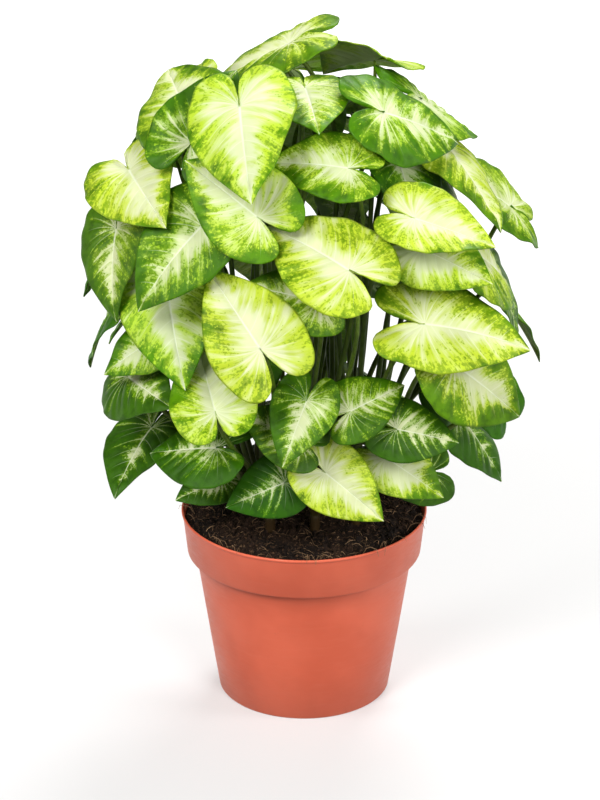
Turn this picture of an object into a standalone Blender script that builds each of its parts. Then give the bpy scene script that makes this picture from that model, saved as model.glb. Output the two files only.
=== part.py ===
"""Arrowhead plant with cream-splashed leaves, growing from nine rooted stems in a round nursery pot.

Metres, +Z up. The origin is the centre of the pot's foot, on the surface that it stands on.
The plant leans its leaves a little towards -Y, the side that its light came from.
"""

import math
import random
from collections import namedtuple

import bmesh
import bpy
from mathutils import Matrix, Vector, noise
from mathutils.bvhtree import BVHTree

# Pot: a thin moulded shell with a flared collar above a tapered body
RIM_RADIUS = 0.060
POT_HEIGHT = 0.095
POT_WALL = 0.0012
COLLAR_HEIGHT = 0.0215
COLLAR_FOOT_RADIUS = 0.0572
BODY_TOP_RADIUS = 0.0532
BODY_FOOT_RADIUS = 0.0420
LIP_ROUND = 0.0005
FOOT_RING_WIDTH = 0.0045
FOOT_RECESS = 0.0025
CENTRE_PAD_RADIUS = 0.010
DRAIN_RADIUS = 0.004
DRAIN_CIRCLE_RADIUS = 0.0245
DRAIN_COUNT = 8
DRAIN_SIDES = 8
POT_SIDES = 36

# Soil: fills the pot, 0.3 mm clear of it, and is heaped a little in the middle
SOIL_GAP = 0.0003
SOIL_EDGE_DROP = 0.0050
SOIL_HEAP = 0.0060
SOIL_RELIEF = 0.0012
SOIL_RELIEF_SCALE = 70.0
SOIL_RINGS = 3

# Stems: one in the middle and a ring round it, each in a plain hole in the soil
STEM_RADIUS = 0.0027
STEM_DEPTH = 0.022
STEM_HOLE_GAP = 0.0004
STEM_SIDES = 7
STEM_HOLE_SIDES = 8
RING_STEMS = 8
RING_RADII = (0.0246, 0.0300)
RING_START = 0.25
MIDDLE_STEM_HEIGHT = 0.014
RING_STEM_HEIGHT = 0.009
STEM_SHOULDER_SHARE = 0.6
STEM_TOP_SHARE = 0.7

# Leaf stalks: shares of the way up that have a ring of points, and of the span that bend it
STALK_FOOT_RADIUS = 0.0015
STALK_TOP_RADIUS = 0.0011
STALK_NECK_RADIUS = 0.0003
STALK_SIDES = 3
STALK_SHARES = (0.0, 0.33, 0.66, 0.95, 1.0)
STALK_JOINT_FORWARD = 0.035
STALK_FOOT_REACH = 0.0021
STALK_FOOT_SHARE = 0.1
STALK_RISE = 0.38
STALK_SPLAY = 0.18
STALK_ARRIVAL = 0.30
STALK_ARRIVAL_TIPWARD = 0.56
STALK_BENDS = (0.0, 0.04, 0.07, 0.10, 0.13, 0.16, 0.19)
SHEATH_ZONE = 0.022

# Blades, drawn in polar form about the joint with the stalk, in units of the joint-to-tip length
BLADE_THICKNESS = 0.0008
BLADE_BODY = 0.44
TIP_SHARPNESS = 0.52
LOBE_ANGLE = 2.50
LOBE_SPREAD = 0.45
LOBE_CORNER = 30
VEIN_SLOPE = math.tan(math.radians(50))
VEIN_BOW = 0.28
VEIN_ANGLES = (0, 16, 44, 82, 124, 154)
SINUS_SHARE = 0.965
WAVES = 5
BLADE_COLUMNS = 2

# How one blade differs from the next: the lowest and highest of each measure of its form
Form = namedtuple("Form", "width lobe sinus fold arch droop lobe_droop twist wave phase")
FORM_RANGES = Form(
    width=(1.02, 1.16),
    lobe=(0.02, 0.10),
    sinus=(2.97, 3.09),
    fold=(0.10, 0.32),
    arch=(0.25, 0.60),
    droop=(0.06, 0.26),
    lobe_droop=(0.10, 0.50),
    twist=(-0.18, 0.18),
    wave=(0.006, 0.020),
    phase=(0.0, 6.3),
)

# Crown: the middles of the blades lie on a dome over the rim; heights are above the rim
DOME_TOP = 0.226
DOME_WIDEST = 0.110
DOME_RADIUS = 0.094
DOME_FOOT = 0.022
DOME_FOOT_RADIUS = 0.052
DOME_SQUARENESS = 2.4
DOME_FLARE = 0.7
DOME_STEPS = 60
LIGHT = Vector((0, -1, 0))
LEAVES_PER_STEM = 12
STEM_PULL = 0.36
LEAF_SPACING = 0.017
CLEARANCE = 0.0006
TRIES = 320
SHAKE = 0.016
SHAKE_FACING = 0.5
SHAKE_LEAN = 0.4
SHAKE_TURN = 0.8
SEED = 40

# A leaf that faces the light: its joint's place across and above the rim and its depth inside the
# dome, its lean back from level, the way its tip points from straight down (to the right is
# positive), and its length
Front = namedtuple("Front", "across height depth lean turn length")
FRONT_LIGHT_PULL = 2
FRONT_LEAVES = (
    Front(-0.021, 0.124, -0.004, 60, -145, 0.045),
    Front(0.054, 0.128, 0.000, 35, 77, 0.051),
    Front(0.009, 0.052, -0.002, 60, 50, 0.035),
    Front(0.019, 0.160, -0.004, 35, -132, 0.048),
    Front(-0.022, 0.180, 0.003, 60, -127, 0.043),
    Front(-0.052, 0.203, 0.000, 45, 160, 0.042),
    Front(-0.042, 0.086, -0.004, 35, -160, 0.040),
    Front(0.042, 0.072, 0.000, 60, 75, 0.031),
    Front(-0.010, 0.042, 0.004, 60, -67, 0.030),
    Front(0.000, 0.224, 0.000, 5, 8, 0.042),
    Front(0.049, 0.176, 0.000, 35, 64, 0.039),
    Front(0.019, 0.198, 0.006, 40, -103, 0.037),
    Front(0.045, 0.155, 0.014, 50, 90, 0.036),
    Front(0.013, 0.136, 0.010, 50, -130, 0.034),
    Front(0.024, 0.088, 0.010, 50, 125, 0.030),
    Front(0.003, 0.075, 0.012, 50, -135, 0.030),
    Front(0.029, 0.056, 0.009, 50, 60, 0.034),
    Front(-0.040, 0.030, 0.012, 40, -60, 0.024),
)

# Layers of leaves over the dome, by shares of its surface from the top down, and depth inside it
Layer = namedtuple("Layer", "count first last depth longest shortest")
LAYERS = (
    Layer(60, 0.00, 0.94, 0.000, 0.050, 0.044),
    Layer(18, 0.40, 0.90, 0.050, 0.048, 0.044),
    Layer(28, 0.10, 0.90, 0.026, 0.044, 0.040),
    Layer(10, 0.86, 1.00, 0.006, 0.032, 0.027),
    Layer(24, 0.20, 0.95, 0.014, 0.038, 0.034),
)
OPEN_FRONT_HEIGHT = 0.200
OPEN_FRONT_WIDTH = 0.80
OPEN_FRONT_DEPTH = 0.010
LENGTH_SPREAD = 0.12
HANGING_SHARE = 0.65
HANGING_TURN = 1.2
TOP_LEANS = (0.21, 0.52)
SIDE_LEAN = 0.56
LAYER_LIGHT_PULL = 0.6
LEAST_LIGHT_SHARE = 0.2
FACING_SPREAD = 0.4
MIDDLE_SHARE = 0.3

Leaf = namedtuple("Leaf", "stem joint facing lean turn length form")


def clear_scene():
    for obj in list(bpy.data.objects):
        bpy.data.objects.remove(obj)


def make_material(name, colour, roughness):
    material = bpy.data.materials.new(name)
    material.use_nodes = True
    shader = material.node_tree.nodes["Principled BSDF"]
    shader.inputs["Base Color"].default_value = (*colour, 1.0)
    shader.inputs["Roughness"].default_value = roughness
    return material


def make_object(name, vertices, faces, material=None, collection=None):
    mesh = bpy.data.meshes.new(name)
    mesh.from_pydata(vertices, [], faces)
    mesh.update()
    obj = bpy.data.objects.new(name, mesh)
    (collection or bpy.context.scene.collection).objects.link(obj)
    if material:
        mesh.materials.append(material)
    return obj


def apply_boolean(obj, operation, collection):
    """Joins or cuts obj with all that the collection holds, and removes the collection's objects."""
    modifier = obj.modifiers.new("boolean", "BOOLEAN")
    modifier.operation = operation
    modifier.operand_type = "COLLECTION"
    modifier.collection = collection
    graph = bpy.context.evaluated_depsgraph_get()
    mesh = bpy.data.meshes.new_from_object(obj.evaluated_get(graph))
    obj.modifiers.remove(modifier)
    obj.data = mesh
    for other in list(collection.objects):
        bpy.data.objects.remove(other)
    bpy.data.collections.remove(collection)


def keep_outer_shell(obj):
    """Fills the small hollows that joining has sealed: of the faces' islands, only the largest stays."""
    shell = bmesh.new()
    shell.from_mesh(obj.data)
    unseen = set(shell.faces)
    islands = []
    while unseen:
        island, border = set(), {unseen.pop()}
        while border:
            face = border.pop()
            island.add(face)
            near = {other for edge in face.edges for other in edge.link_faces} & unseen
            unseen -= near
            border |= near
        islands.append(island)
    islands.sort(key=len)
    for island in islands[:-1]:
        bmesh.ops.delete(shell, geom=list(island), context="FACES")
    shell.to_mesh(obj.data)
    shell.free()


def new_collection(name):
    collection = bpy.data.collections.new(name)
    bpy.context.scene.collection.children.link(collection)
    return collection


def ring_points(radius, height, sides):
    return [
        Vector((radius * math.cos(a), radius * math.sin(a), height))
        for a in (2 * math.pi * i / sides for i in range(sides))
    ]


def turned_solid(profile, sides):
    """A closed solid turned from (radius, height) points that run from the axis round to the axis again."""
    vertices, rings = [], []
    for radius, height in profile:
        on_axis = radius == 0
        points = [Vector((0, 0, height))] if on_axis else ring_points(radius, height, sides)
        rings.append(range(len(vertices), len(vertices) + len(points)))
        vertices += points
    faces = []
    for lower, upper in zip(rings, rings[1:]):
        for i in range(sides):
            j = (i + 1) % sides
            corners = [lower[i % len(lower)], lower[j % len(lower)]]
            corners += [upper[j % len(upper)], upper[i % len(upper)]]
            faces.append(list(dict.fromkeys(corners)))
    return vertices, faces


def straight_at(height, low, high):
    """Radius at a height on the straight line between two (radius, height) points."""
    share = (height - low[1]) / (high[1] - low[1])
    return low[0] + share * (high[0] - low[0])


COLLAR_FOOT = POT_HEIGHT - COLLAR_HEIGHT
FLOOR_TOP = FOOT_RECESS + POT_WALL
INNER_FOOT = (BODY_FOOT_RADIUS - POT_WALL, 0.0)
INNER_SHOULDER = (BODY_TOP_RADIUS - POT_WALL, COLLAR_FOOT + POT_WALL)
INNER_COLLAR = (COLLAR_FOOT_RADIUS - POT_WALL, COLLAR_FOOT + POT_WALL)
INNER_RIM = (RIM_RADIUS - POT_WALL, POT_HEIGHT)


def pot_profile():
    ring_inside = BODY_FOOT_RADIUS - FOOT_RING_WIDTH
    return [
        (0, 0),
        (CENTRE_PAD_RADIUS, 0),
        (CENTRE_PAD_RADIUS + FOOT_RECESS, FOOT_RECESS),
        (ring_inside - FOOT_RECESS, FOOT_RECESS),
        (ring_inside, 0),
        (BODY_FOOT_RADIUS, 0),
        (BODY_TOP_RADIUS, COLLAR_FOOT),
        (COLLAR_FOOT_RADIUS, COLLAR_FOOT),
        (RIM_RADIUS, POT_HEIGHT - LIP_ROUND),
        (RIM_RADIUS - LIP_ROUND, POT_HEIGHT),
        INNER_RIM,
        INNER_COLLAR,
        INNER_SHOULDER,
        (straight_at(FLOOR_TOP, INNER_FOOT, INNER_SHOULDER), FLOOR_TOP),
        (0, FLOOR_TOP),
    ]


def round_cutter(name, centre, radius, low, high, sides, collection):
    vertices, faces = turned_solid([(0, low), (radius, low), (radius, high), (0, high)], sides)
    make_object(name, [v + centre for v in vertices], faces, collection=collection)


def build_pot(material):
    pot = make_object("pot", *turned_solid(pot_profile(), POT_SIDES), material)
    drains = new_collection("drains")
    for i in range(DRAIN_COUNT):
        angle = 2 * math.pi * (i + 0.5) / DRAIN_COUNT
        centre = Vector((math.cos(angle), math.sin(angle), 0)) * DRAIN_CIRCLE_RADIUS
        round_cutter(f"drain_{i}", centre, DRAIN_RADIUS, -FLOOR_TOP, 2 * FLOOR_TOP, DRAIN_SIDES, drains)
    apply_boolean(pot, "DIFFERENCE", drains)


def soil_height(x, y):
    """Height of the soil's surface: a low heap with a gentle relief."""
    reach = min(1.0, math.hypot(x, y) / INNER_RIM[0])
    relief = noise.noise(Vector((x, y, 0)) * SOIL_RELIEF_SCALE)
    edge = POT_HEIGHT - SOIL_EDGE_DROP
    return edge + SOIL_HEAP * (1 - reach**2) + SOIL_RELIEF * relief * (1 - reach**6)


def soil_block():
    """The soil without its stem holes: stepped like the pot's inside, with a heaped top."""
    surface_edge = POT_HEIGHT - SOIL_EDGE_DROP
    edge_radius = straight_at(surface_edge, INNER_COLLAR, INNER_RIM) - SOIL_GAP
    bottom = FLOOR_TOP + SOIL_GAP
    ledge = INNER_COLLAR[1] + SOIL_GAP
    profile = [
        (0, bottom),
        (straight_at(bottom, INNER_FOOT, INNER_SHOULDER) - SOIL_GAP, bottom),
        (INNER_SHOULDER[0] - SOIL_GAP, ledge),
        (INNER_COLLAR[0] - SOIL_GAP, ledge),
        (edge_radius, surface_edge),
    ]
    rings = [edge_radius * (1 - (i + 1) / (SOIL_RINGS + 1)) for i in range(SOIL_RINGS)]
    profile += [(radius, POT_HEIGHT) for radius in rings] + [(0, POT_HEIGHT)]
    vertices, faces = turned_solid(profile, POT_SIDES)
    for v in vertices:
        if v.z == POT_HEIGHT:
            v.z = soil_height(v.x, v.y)
    return vertices, faces


def build_soil(material, feet):
    soil = make_object("soil", *soil_block(), material)
    holes = new_collection("stem_holes")
    radius = (STEM_RADIUS + STEM_HOLE_GAP) / math.cos(math.pi / STEM_HOLE_SIDES)
    bottom = -STEM_DEPTH - SOIL_GAP
    for i, foot in enumerate(feet):
        round_cutter(f"hole_{i}", foot, radius, bottom, STEM_DEPTH, STEM_HOLE_SIDES, holes)
    apply_boolean(soil, "DIFFERENCE", holes)


def stem_feet():
    """Where each stem meets the soil's surface: the middle one first, then the ring."""
    places = [(0.0, 0.0)]
    for i in range(RING_STEMS):
        angle = 2 * math.pi * (i + RING_START) / RING_STEMS
        reach = RING_RADII[i % 2]
        places.append((reach * math.cos(angle), reach * math.sin(angle)))
    return [Vector((x, y, soil_height(x, y))) for x, y in places]


def stem_height(stem):
    return RING_STEM_HEIGHT if stem else MIDDLE_STEM_HEIGHT


def stem_solid(foot, height):
    profile = [
        (0, -STEM_DEPTH),
        (STEM_RADIUS, -STEM_DEPTH),
        (STEM_RADIUS, STEM_SHOULDER_SHARE * height),
        (STEM_TOP_SHARE * STEM_RADIUS, height),
        (0, height + STEM_RADIUS / 2),
    ]
    vertices, faces = turned_solid(profile, STEM_SIDES)
    return [v + foot for v in vertices], faces


def margin_distance(angle, form):
    """Distance from the joint to the blade's edge, in blade lengths, at an angle from the tip."""
    reach = BLADE_BODY + (1 - BLADE_BODY) * math.exp(-angle / TIP_SHARPNESS)
    reach += form.lobe * math.exp(-(((angle - LOBE_ANGLE) / LOBE_SPREAD) ** 2))
    corner = min(1.0, angle / form.sinus) ** LOBE_CORNER
    return reach * math.sqrt(max(0.0, 1 - corner))


def blade_angles(form):
    """Angles of the vein rows, from the tip to the edge of the notch behind the joint."""
    return [math.radians(a) for a in VEIN_ANGLES] + [SINUS_SHARE * form.sinus]


def blade_point(form, angle, share):
    """A point of half a blade of unit length: along the vein that meets the edge at this angle, by share."""
    reach = margin_distance(angle, form)
    x_edge, y_edge = reach * math.cos(angle), reach * math.sin(angle) * form.width
    x_root = max(0.0, x_edge - y_edge / VEIN_SLOPE)
    span = math.hypot(x_edge - x_root, y_edge)
    bow = VEIN_BOW * span * share * (1 - share)
    return x_root + (x_edge - x_root) * share - bow, y_edge * share


def blade_height(form, x, y, angle, share, side):
    """How far the blade's middle surface stands above its plane: folded, arched, drooping and waved."""
    lift = form.fold * y - form.arch * y * y
    lift -= (form.droop if x > 0 else form.lobe_droop) * x * x
    lift += form.twist * side * x * y
    return lift + form.wave * math.sin(WAVES * angle + form.phase * side) * share**2


def blade_surface(form, length, angles, columns):
    """Vertices and triangles of a blade's middle surface, drawn in XY with its tip along +X."""
    vertices, index, faces = [], {}, []

    def vertex(side, row, column):
        x, y = blade_point(form, angles[row], column / columns)
        key = (round(x, 6), round(side * y, 6))
        if key not in index:
            lift = blade_height(form, x, y, angles[row], column / columns, side)
            index[key] = len(vertices)
            vertices.append(Vector((x, side * y, lift)) * length)
        return index[key]

    for side in (1, -1):
        for row in range(len(angles) - 1):
            for column in range(columns):
                a, b = vertex(side, row, column), vertex(side, row, column + 1)
                c, d = vertex(side, row + 1, column + 1), vertex(side, row + 1, column)
                for corners in ((a, b, c), (a, c, d)):
                    if len(set(corners)) == 3:
                        faces.append(corners[::side])
    return vertices, faces


def thicken(vertices, faces, thickness):
    """A closed solid from a surface: both faces split alike, and a wall round the open edge."""
    normals = [Vector() for _ in vertices]
    for a, b, c in faces:
        normal = (vertices[b] - vertices[a]).cross(vertices[c] - vertices[a])
        for i in (a, b, c):
            normals[i] += normal
    half = [n.normalized() * thickness / 2 for n in normals]
    count = len(vertices)
    solid = [v + h for v, h in zip(vertices, half)] + [v - h for v, h in zip(vertices, half)]
    edges = {(a, b) for f in faces for a, b in zip(f, f[1:] + f[:1])}
    walls = []
    for a, b in sorted(edges):
        if (b, a) not in edges:
            walls += [(b, a, a + count), (b, a + count, b + count)]
    under = [tuple(i + count for i in reversed(f)) for f in faces]
    return solid, list(faces) + under + walls


def leaf_matrix(leaf):
    """Places a blade drawn in XY with its tip along +X."""
    outward = Vector((math.cos(leaf.facing), math.sin(leaf.facing), 0))
    up = Vector((0, 0, 1))
    normal = outward * math.sin(leaf.lean) + up * math.cos(leaf.lean)
    downhill = outward * math.cos(leaf.lean) - up * math.sin(leaf.lean)
    tip = downhill * math.cos(leaf.turn) + up.cross(outward) * math.sin(leaf.turn)
    rotation = Matrix((tip, normal.cross(tip), normal)).transposed().to_4x4()
    return Matrix.Translation(leaf.joint) @ rotation


def blade_solid(form, length, thickness):
    """A blade's closed solid, drawn in XY with its joint at the origin."""
    vertices, faces = blade_surface(form, length, blade_angles(form), BLADE_COLUMNS)
    return thicken(vertices, faces, thickness)


def placed(solid, place):
    return [place @ v for v in solid[0]], solid[1]


def stalk_path(leaf, foot, bend):
    """Points along the stalk, from inside the stem to the blade's joint: a cubic curve."""
    place = leaf_matrix(leaf)
    end = place @ Vector((STALK_JOINT_FORWARD * leaf.length, 0, 0))
    arrival = place.to_3x3() @ Vector((STALK_ARRIVAL_TIPWARD, 0, 1)).normalized()
    height = min(stem_height(leaf.stem), STALK_FOOT_SHARE * leaf.joint.z)
    way = (end.xy - foot.xy).to_3d()
    start = foot + Vector((0, 0, height)) + STALK_FOOT_REACH * way.normalized()
    span = (end - start).length
    first = start + Vector((0, 0, STALK_RISE * span)) + STALK_SPLAY * way + bend * span
    second = end - arrival * STALK_ARRIVAL * span + bend * span / 2
    points = []
    for t in STALK_SHARES:
        weights = ((1 - t) ** 3, 3 * t * (1 - t) ** 2, 3 * t * t * (1 - t), t**3)
        points.append(sum((w * p for w, p in zip(weights, (start, first, second, end))), Vector()))
    return points


def above_height(path, height):
    """The stretch of a path above a height, or its last two spans where it stays below."""
    for i, (low, high) in enumerate(zip(path[:-3], path[1:])):
        if high.z > height:
            share = max(0.0, (height - low.z) / (high.z - low.z))
            return [low.lerp(high, share)] + path[i + 1 :]
    return path[-3:]


def stalk_radii(count):
    """The last rings of a stalk: it thins upwards, and necks where it enters the blade."""
    shares = STALK_SHARES[-count:]
    radii = [STALK_FOOT_RADIUS + (STALK_TOP_RADIUS - STALK_FOOT_RADIUS) * t for t in shares]
    return radii[:-1] + [STALK_NECK_RADIUS]


def tube_solid(points, radii, sides):
    """A closed tube along the points, with one radius for each."""
    vertices, faces = [], []
    across = Vector((1, 0, 0))
    for i, point in enumerate(points):
        along = (points[min(i + 1, len(points) - 1)] - points[max(i - 1, 0)]).normalized()
        across = (across - along * across.dot(along)).normalized()
        other = along.cross(across)
        for k in range(sides):
            a = 2 * math.pi * k / sides
            vertices.append(point + radii[i] * (math.cos(a) * across + math.sin(a) * other))
    for i in range(len(points) - 1):
        for k in range(sides):
            j, row, above = (k + 1) % sides, i * sides, (i + 1) * sides
            faces += [(row + k, row + j, above + j), (row + k, above + j, above + k)]
    top = len(vertices) - sides
    faces.append(tuple(reversed(range(sides))))
    faces.append(tuple(range(top, top + sides)))
    return vertices, faces


def stalk_solid(points, grow=0.0):
    return tube_solid(points, [radius + grow for radius in stalk_radii(len(points))], STALK_SIDES)


def tree_of(solid):
    return BVHTree.FromPolygons(*solid)


def dome_radius(height):
    """Radius of the crown at a height above the rim."""
    if height > DOME_WIDEST:
        share = min(1.0, (height - DOME_WIDEST) / (DOME_TOP - DOME_WIDEST))
        return DOME_RADIUS * (1 - share**DOME_SQUARENESS) ** (1 / DOME_SQUARENESS)
    share = max(0.0, (height - DOME_FOOT) / (DOME_WIDEST - DOME_FOOT))
    return DOME_FOOT_RADIUS + (DOME_RADIUS - DOME_FOOT_RADIUS) * share**DOME_FLARE


def dome_height(share):
    """Height above the rim of the ring that has this share of the dome's surface above it."""
    steps = [i / DOME_STEPS for i in range(DOME_STEPS + 1)]
    heights = [DOME_WIDEST + (DOME_TOP - DOME_WIDEST) * math.cos(math.pi / 2 * s) for s in steps]
    heights += [DOME_WIDEST + (DOME_FOOT - DOME_WIDEST) * s for s in steps[1:]]
    rings = [(dome_radius(h), h) for h in heights]
    areas = [0.0]
    for (r, h), (next_r, next_h) in zip(rings, rings[1:]):
        areas.append(areas[-1] + (r + next_r) * math.hypot(next_r - r, next_h - h))
    return next(h for h, area in zip(heights, areas) if area >= share * areas[-1])


class Crown:
    """The leaves placed so far, and what a new one has to stay clear of."""

    def __init__(self, feet):
        self.feet = feet
        self.random = random.Random(SEED)
        self.leaves = []
        self.paths = []
        self.whole = []
        self.above = []
        self.stems = [tree_of(stem_solid(f, stem_height(i))) for i, f in enumerate(feet)]
        self.holder = [tree_of(turned_solid(pot_profile(), POT_SIDES)), tree_of(soil_block())]

    def draw(self, low, high):
        return self.random.uniform(low, high)

    def draw_vector(self, size):
        return size * Vector([self.draw(-1, 1) for _ in range(3)])

    def draw_form(self):
        return Form(*[self.draw(low, high) for low, high in FORM_RANGES])

    def nearest_stem(self, joint):
        counts = [sum(leaf.stem == i for leaf in self.leaves) for i in range(len(self.feet))]
        free = [i for i in range(len(self.feet)) if counts[i] < LEAVES_PER_STEM]
        return min(free, key=lambda i: (self.feet[i].xy - STEM_PULL * joint.xy).length)

    def shaken(self, leaf, amount):
        """The leaf moved and turned at random, by more the larger the amount."""
        return leaf._replace(
            joint=leaf.joint + self.draw_vector(SHAKE * amount),
            facing=leaf.facing + self.draw(-SHAKE_FACING, SHAKE_FACING) * amount,
            lean=leaf.lean + self.draw(-SHAKE_LEAN, SHAKE_LEAN) * amount,
            turn=leaf.turn + self.draw(-SHAKE_TURN, SHAKE_TURN) * amount,
        )

    def is_clear(self, tree, upper, stem):
        if any(tree.overlap(other) for other in self.holder):
            return False
        if any(tree.overlap(other) for i, other in enumerate(self.stems) if i != stem):
            return False
        for leaf, whole, above in zip(self.leaves, self.whole, self.above):
            if leaf.stem == stem and upper.overlap(above):
                return False
            if leaf.stem != stem and tree.overlap(whole):
                return False
        return True

    def try_leaf(self, leaf):
        """Shakes the leaf further and further from its place until it fits, and keeps it if it does."""
        wide = blade_solid(leaf.form, leaf.length + CLEARANCE, BLADE_THICKNESS + 2 * CLEARANCE)
        for attempt in range(TRIES):
            trial = self.shaken(leaf, attempt / TRIES)
            tree = tree_of(placed(wide, leaf_matrix(trial)))
            if self.is_clear(tree, tree, trial.stem) and self.try_stalk(trial):
                return

    def try_stalk(self, leaf):
        """Bends the stalk until it runs clear of everything, and keeps the leaf if it does."""
        for bend_size in STALK_BENDS:
            path = stalk_path(leaf, self.feet[leaf.stem], self.draw_vector(bend_size))
            upper = above_height(path, self.feet[leaf.stem].z + SHEATH_ZONE)
            tree = tree_of(stalk_solid(path, CLEARANCE))
            upper_tree = tree_of(stalk_solid(upper, CLEARANCE))
            if self.is_clear(tree, upper_tree, leaf.stem):
                blade = placed(blade_solid(leaf.form, leaf.length, BLADE_THICKNESS), leaf_matrix(leaf))
                self.leaves.append(leaf)
                self.paths.append(path)
                self.whole.append(tree_of(merged(blade, stalk_solid(path))))
                self.above.append(tree_of(merged(blade, stalk_solid(upper))))
                return True
        return False

    def add_front_leaf(self, front):
        radius = dome_radius(front.height)
        y = front.depth - math.sqrt(max(0.0, radius**2 - front.across**2))
        joint = Vector((front.across, y, POT_HEIGHT + front.height))
        way = FRONT_LIGHT_PULL * LIGHT + Vector((front.across, y, 0)) / DOME_RADIUS
        facing = math.atan2(way.y, way.x)
        lean, turn = math.radians(front.lean), math.radians(front.turn)
        stem = self.nearest_stem(joint)
        self.try_leaf(Leaf(stem, joint, facing, lean, turn, front.length, self.draw_form()))

    def add_layer_leaf(self, layer, share, azimuth):
        height = dome_height(layer.first + (layer.last - layer.first) * share)
        outward = Vector((math.cos(azimuth), math.sin(azimuth), 0))
        in_front = height < OPEN_FRONT_HEIGHT and outward.dot(LIGHT) > OPEN_FRONT_WIDTH
        if in_front and layer.depth < OPEN_FRONT_DEPTH:
            return
        length = layer.longest + (layer.shortest - layer.longest) * share
        length *= self.draw(1 - LENGTH_SPREAD, 1 + LENGTH_SPREAD)
        hanging = self.draw(0, 1) < HANGING_SHARE
        turn = self.draw(-1, 1) * (HANGING_TURN if hanging else math.pi)
        steepness = dome_radius(height) / DOME_RADIUS
        lean = self.draw(*TOP_LEANS) + SIDE_LEAN * steepness
        way = outward + LAYER_LIGHT_PULL * LIGHT * max(LEAST_LIGHT_SHARE, 1 - steepness)
        facing = math.atan2(way.y, way.x) + self.draw(-FACING_SPREAD, FACING_SPREAD)
        middle = outward * (dome_radius(height) - layer.depth) + Vector((0, 0, POT_HEIGHT + height))
        leaf = Leaf(0, middle, facing, lean, turn, length, self.draw_form())
        joint = middle - MIDDLE_SHARE * length * leaf_matrix(leaf).col[0].to_3d()
        if all((other.joint - joint).length > LEAF_SPACING for other in self.leaves):
            self.try_leaf(leaf._replace(joint=joint, stem=self.nearest_stem(joint)))

    def fill(self):
        for front in FRONT_LEAVES:
            self.add_front_leaf(front)
        golden_angle = math.pi * (3 - math.sqrt(5))
        for layer in LAYERS:
            for i in range(layer.count):
                self.add_layer_leaf(layer, (i + 0.5) / layer.count, i * golden_angle)


def merged(first, second):
    offset = len(first[0])
    moved = [tuple(i + offset for i in face) for face in second[1]]
    return list(first[0]) + list(second[0]), [tuple(f) for f in first[1]] + moved


def build_leafy_stem(crown, stem, material):
    """One stem with its leaf stalks and blades, joined into one body."""
    name = f"leafy_stem_{stem + 1}"
    obj = make_object(name, *stem_solid(crown.feet[stem], stem_height(stem)), material)
    parts = new_collection(name + "_parts")
    for i, leaf in enumerate(crown.leaves):
        if leaf.stem == stem:
            blade = blade_solid(leaf.form, leaf.length, BLADE_THICKNESS)
            make_object(f"stalk_{i}", *stalk_solid(crown.paths[i]), collection=parts)
            make_object(f"blade_{i}", *placed(blade, leaf_matrix(leaf)), collection=parts)
    apply_boolean(obj, "UNION", parts)
    keep_outer_shell(obj)


def main():
    clear_scene()
    terracotta = make_material("terracotta_plastic", (0.62, 0.16, 0.07), 0.42)
    peat = make_material("peat", (0.035, 0.018, 0.010), 0.95)
    foliage = make_material("variegated_leaf", (0.33, 0.55, 0.10), 0.45)
    feet = stem_feet()
    build_pot(terracotta)
    build_soil(peat, feet)
    crown = Crown(feet)
    crown.fill()
    for stem in range(len(feet)):
        build_leafy_stem(crown, stem, foliage)
    counts = [sum(leaf.stem == i for leaf in crown.leaves) for i in range(len(feet))]
    print("leaves on each stem:", counts, "in all", sum(counts))


main()
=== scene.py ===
"""Arrowhead plant in its nursery pot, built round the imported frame, with a plain studio.

Metres, +Z up. The origin is the centre of the pot's foot, and the light comes from the -Y side.
Laid out as an add-on and run as a script: each operator makes one piece or group of like pieces.
The leaves are laid out by the same rule and the same seed as the solids that they replace.
"""

import math
import random
from collections import namedtuple

import bpy
from mathutils import Matrix, Quaternion, Vector, noise
from mathutils.bvhtree import BVHTree


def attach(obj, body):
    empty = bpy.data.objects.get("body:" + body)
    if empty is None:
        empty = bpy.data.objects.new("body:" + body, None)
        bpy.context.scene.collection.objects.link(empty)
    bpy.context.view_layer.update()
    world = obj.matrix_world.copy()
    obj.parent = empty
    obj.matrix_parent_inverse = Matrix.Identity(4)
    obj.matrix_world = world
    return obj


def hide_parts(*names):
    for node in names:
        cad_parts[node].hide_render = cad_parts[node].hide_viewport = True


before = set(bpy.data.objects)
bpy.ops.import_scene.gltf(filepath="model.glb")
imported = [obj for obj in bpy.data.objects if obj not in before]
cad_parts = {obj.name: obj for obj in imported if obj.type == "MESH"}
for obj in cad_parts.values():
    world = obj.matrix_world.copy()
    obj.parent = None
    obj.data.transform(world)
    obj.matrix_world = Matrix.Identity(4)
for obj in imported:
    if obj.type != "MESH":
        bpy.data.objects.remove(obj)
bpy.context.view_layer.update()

bl_info = {
    "name": "Arrowhead plant",
    "version": (1, 0, 0),
    "blender": (4, 5, 0),
    "location": "View3D > Sidebar > Plant",
    "description": "Builds a variegated arrowhead plant in a nursery pot, and a plain studio",
    "category": "Add Mesh",
}

# Pot: a thin moulded shell with a flared collar above a tapered body
RIM_RADIUS = 0.060
POT_HEIGHT = 0.095
POT_WALL = 0.0012
COLLAR_HEIGHT = 0.0215
COLLAR_FOOT_RADIUS = 0.0572
BODY_TOP_RADIUS = 0.0532
BODY_FOOT_RADIUS = 0.0420
LIP_ROUND = 0.0005
FOOT_RING_WIDTH = 0.0045
FOOT_RECESS = 0.0025
CENTRE_PAD_RADIUS = 0.010
DRAIN_RADIUS = 0.004
DRAIN_CIRCLE_RADIUS = 0.0245
DRAIN_COUNT = 8
POT_SIDES = 36

# Soil: fills the pot, 0.3 mm clear of it, and is heaped a little in the middle
SOIL_GAP = 0.0003
SOIL_EDGE = POT_HEIGHT - 0.0050
SOIL_HEAP = 0.0060
SOIL_RELIEF = 0.0012
SOIL_RELIEF_SCALE = 70.0
SOIL_CALM_EDGE = 6
SOIL_RINGS = 3

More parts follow.
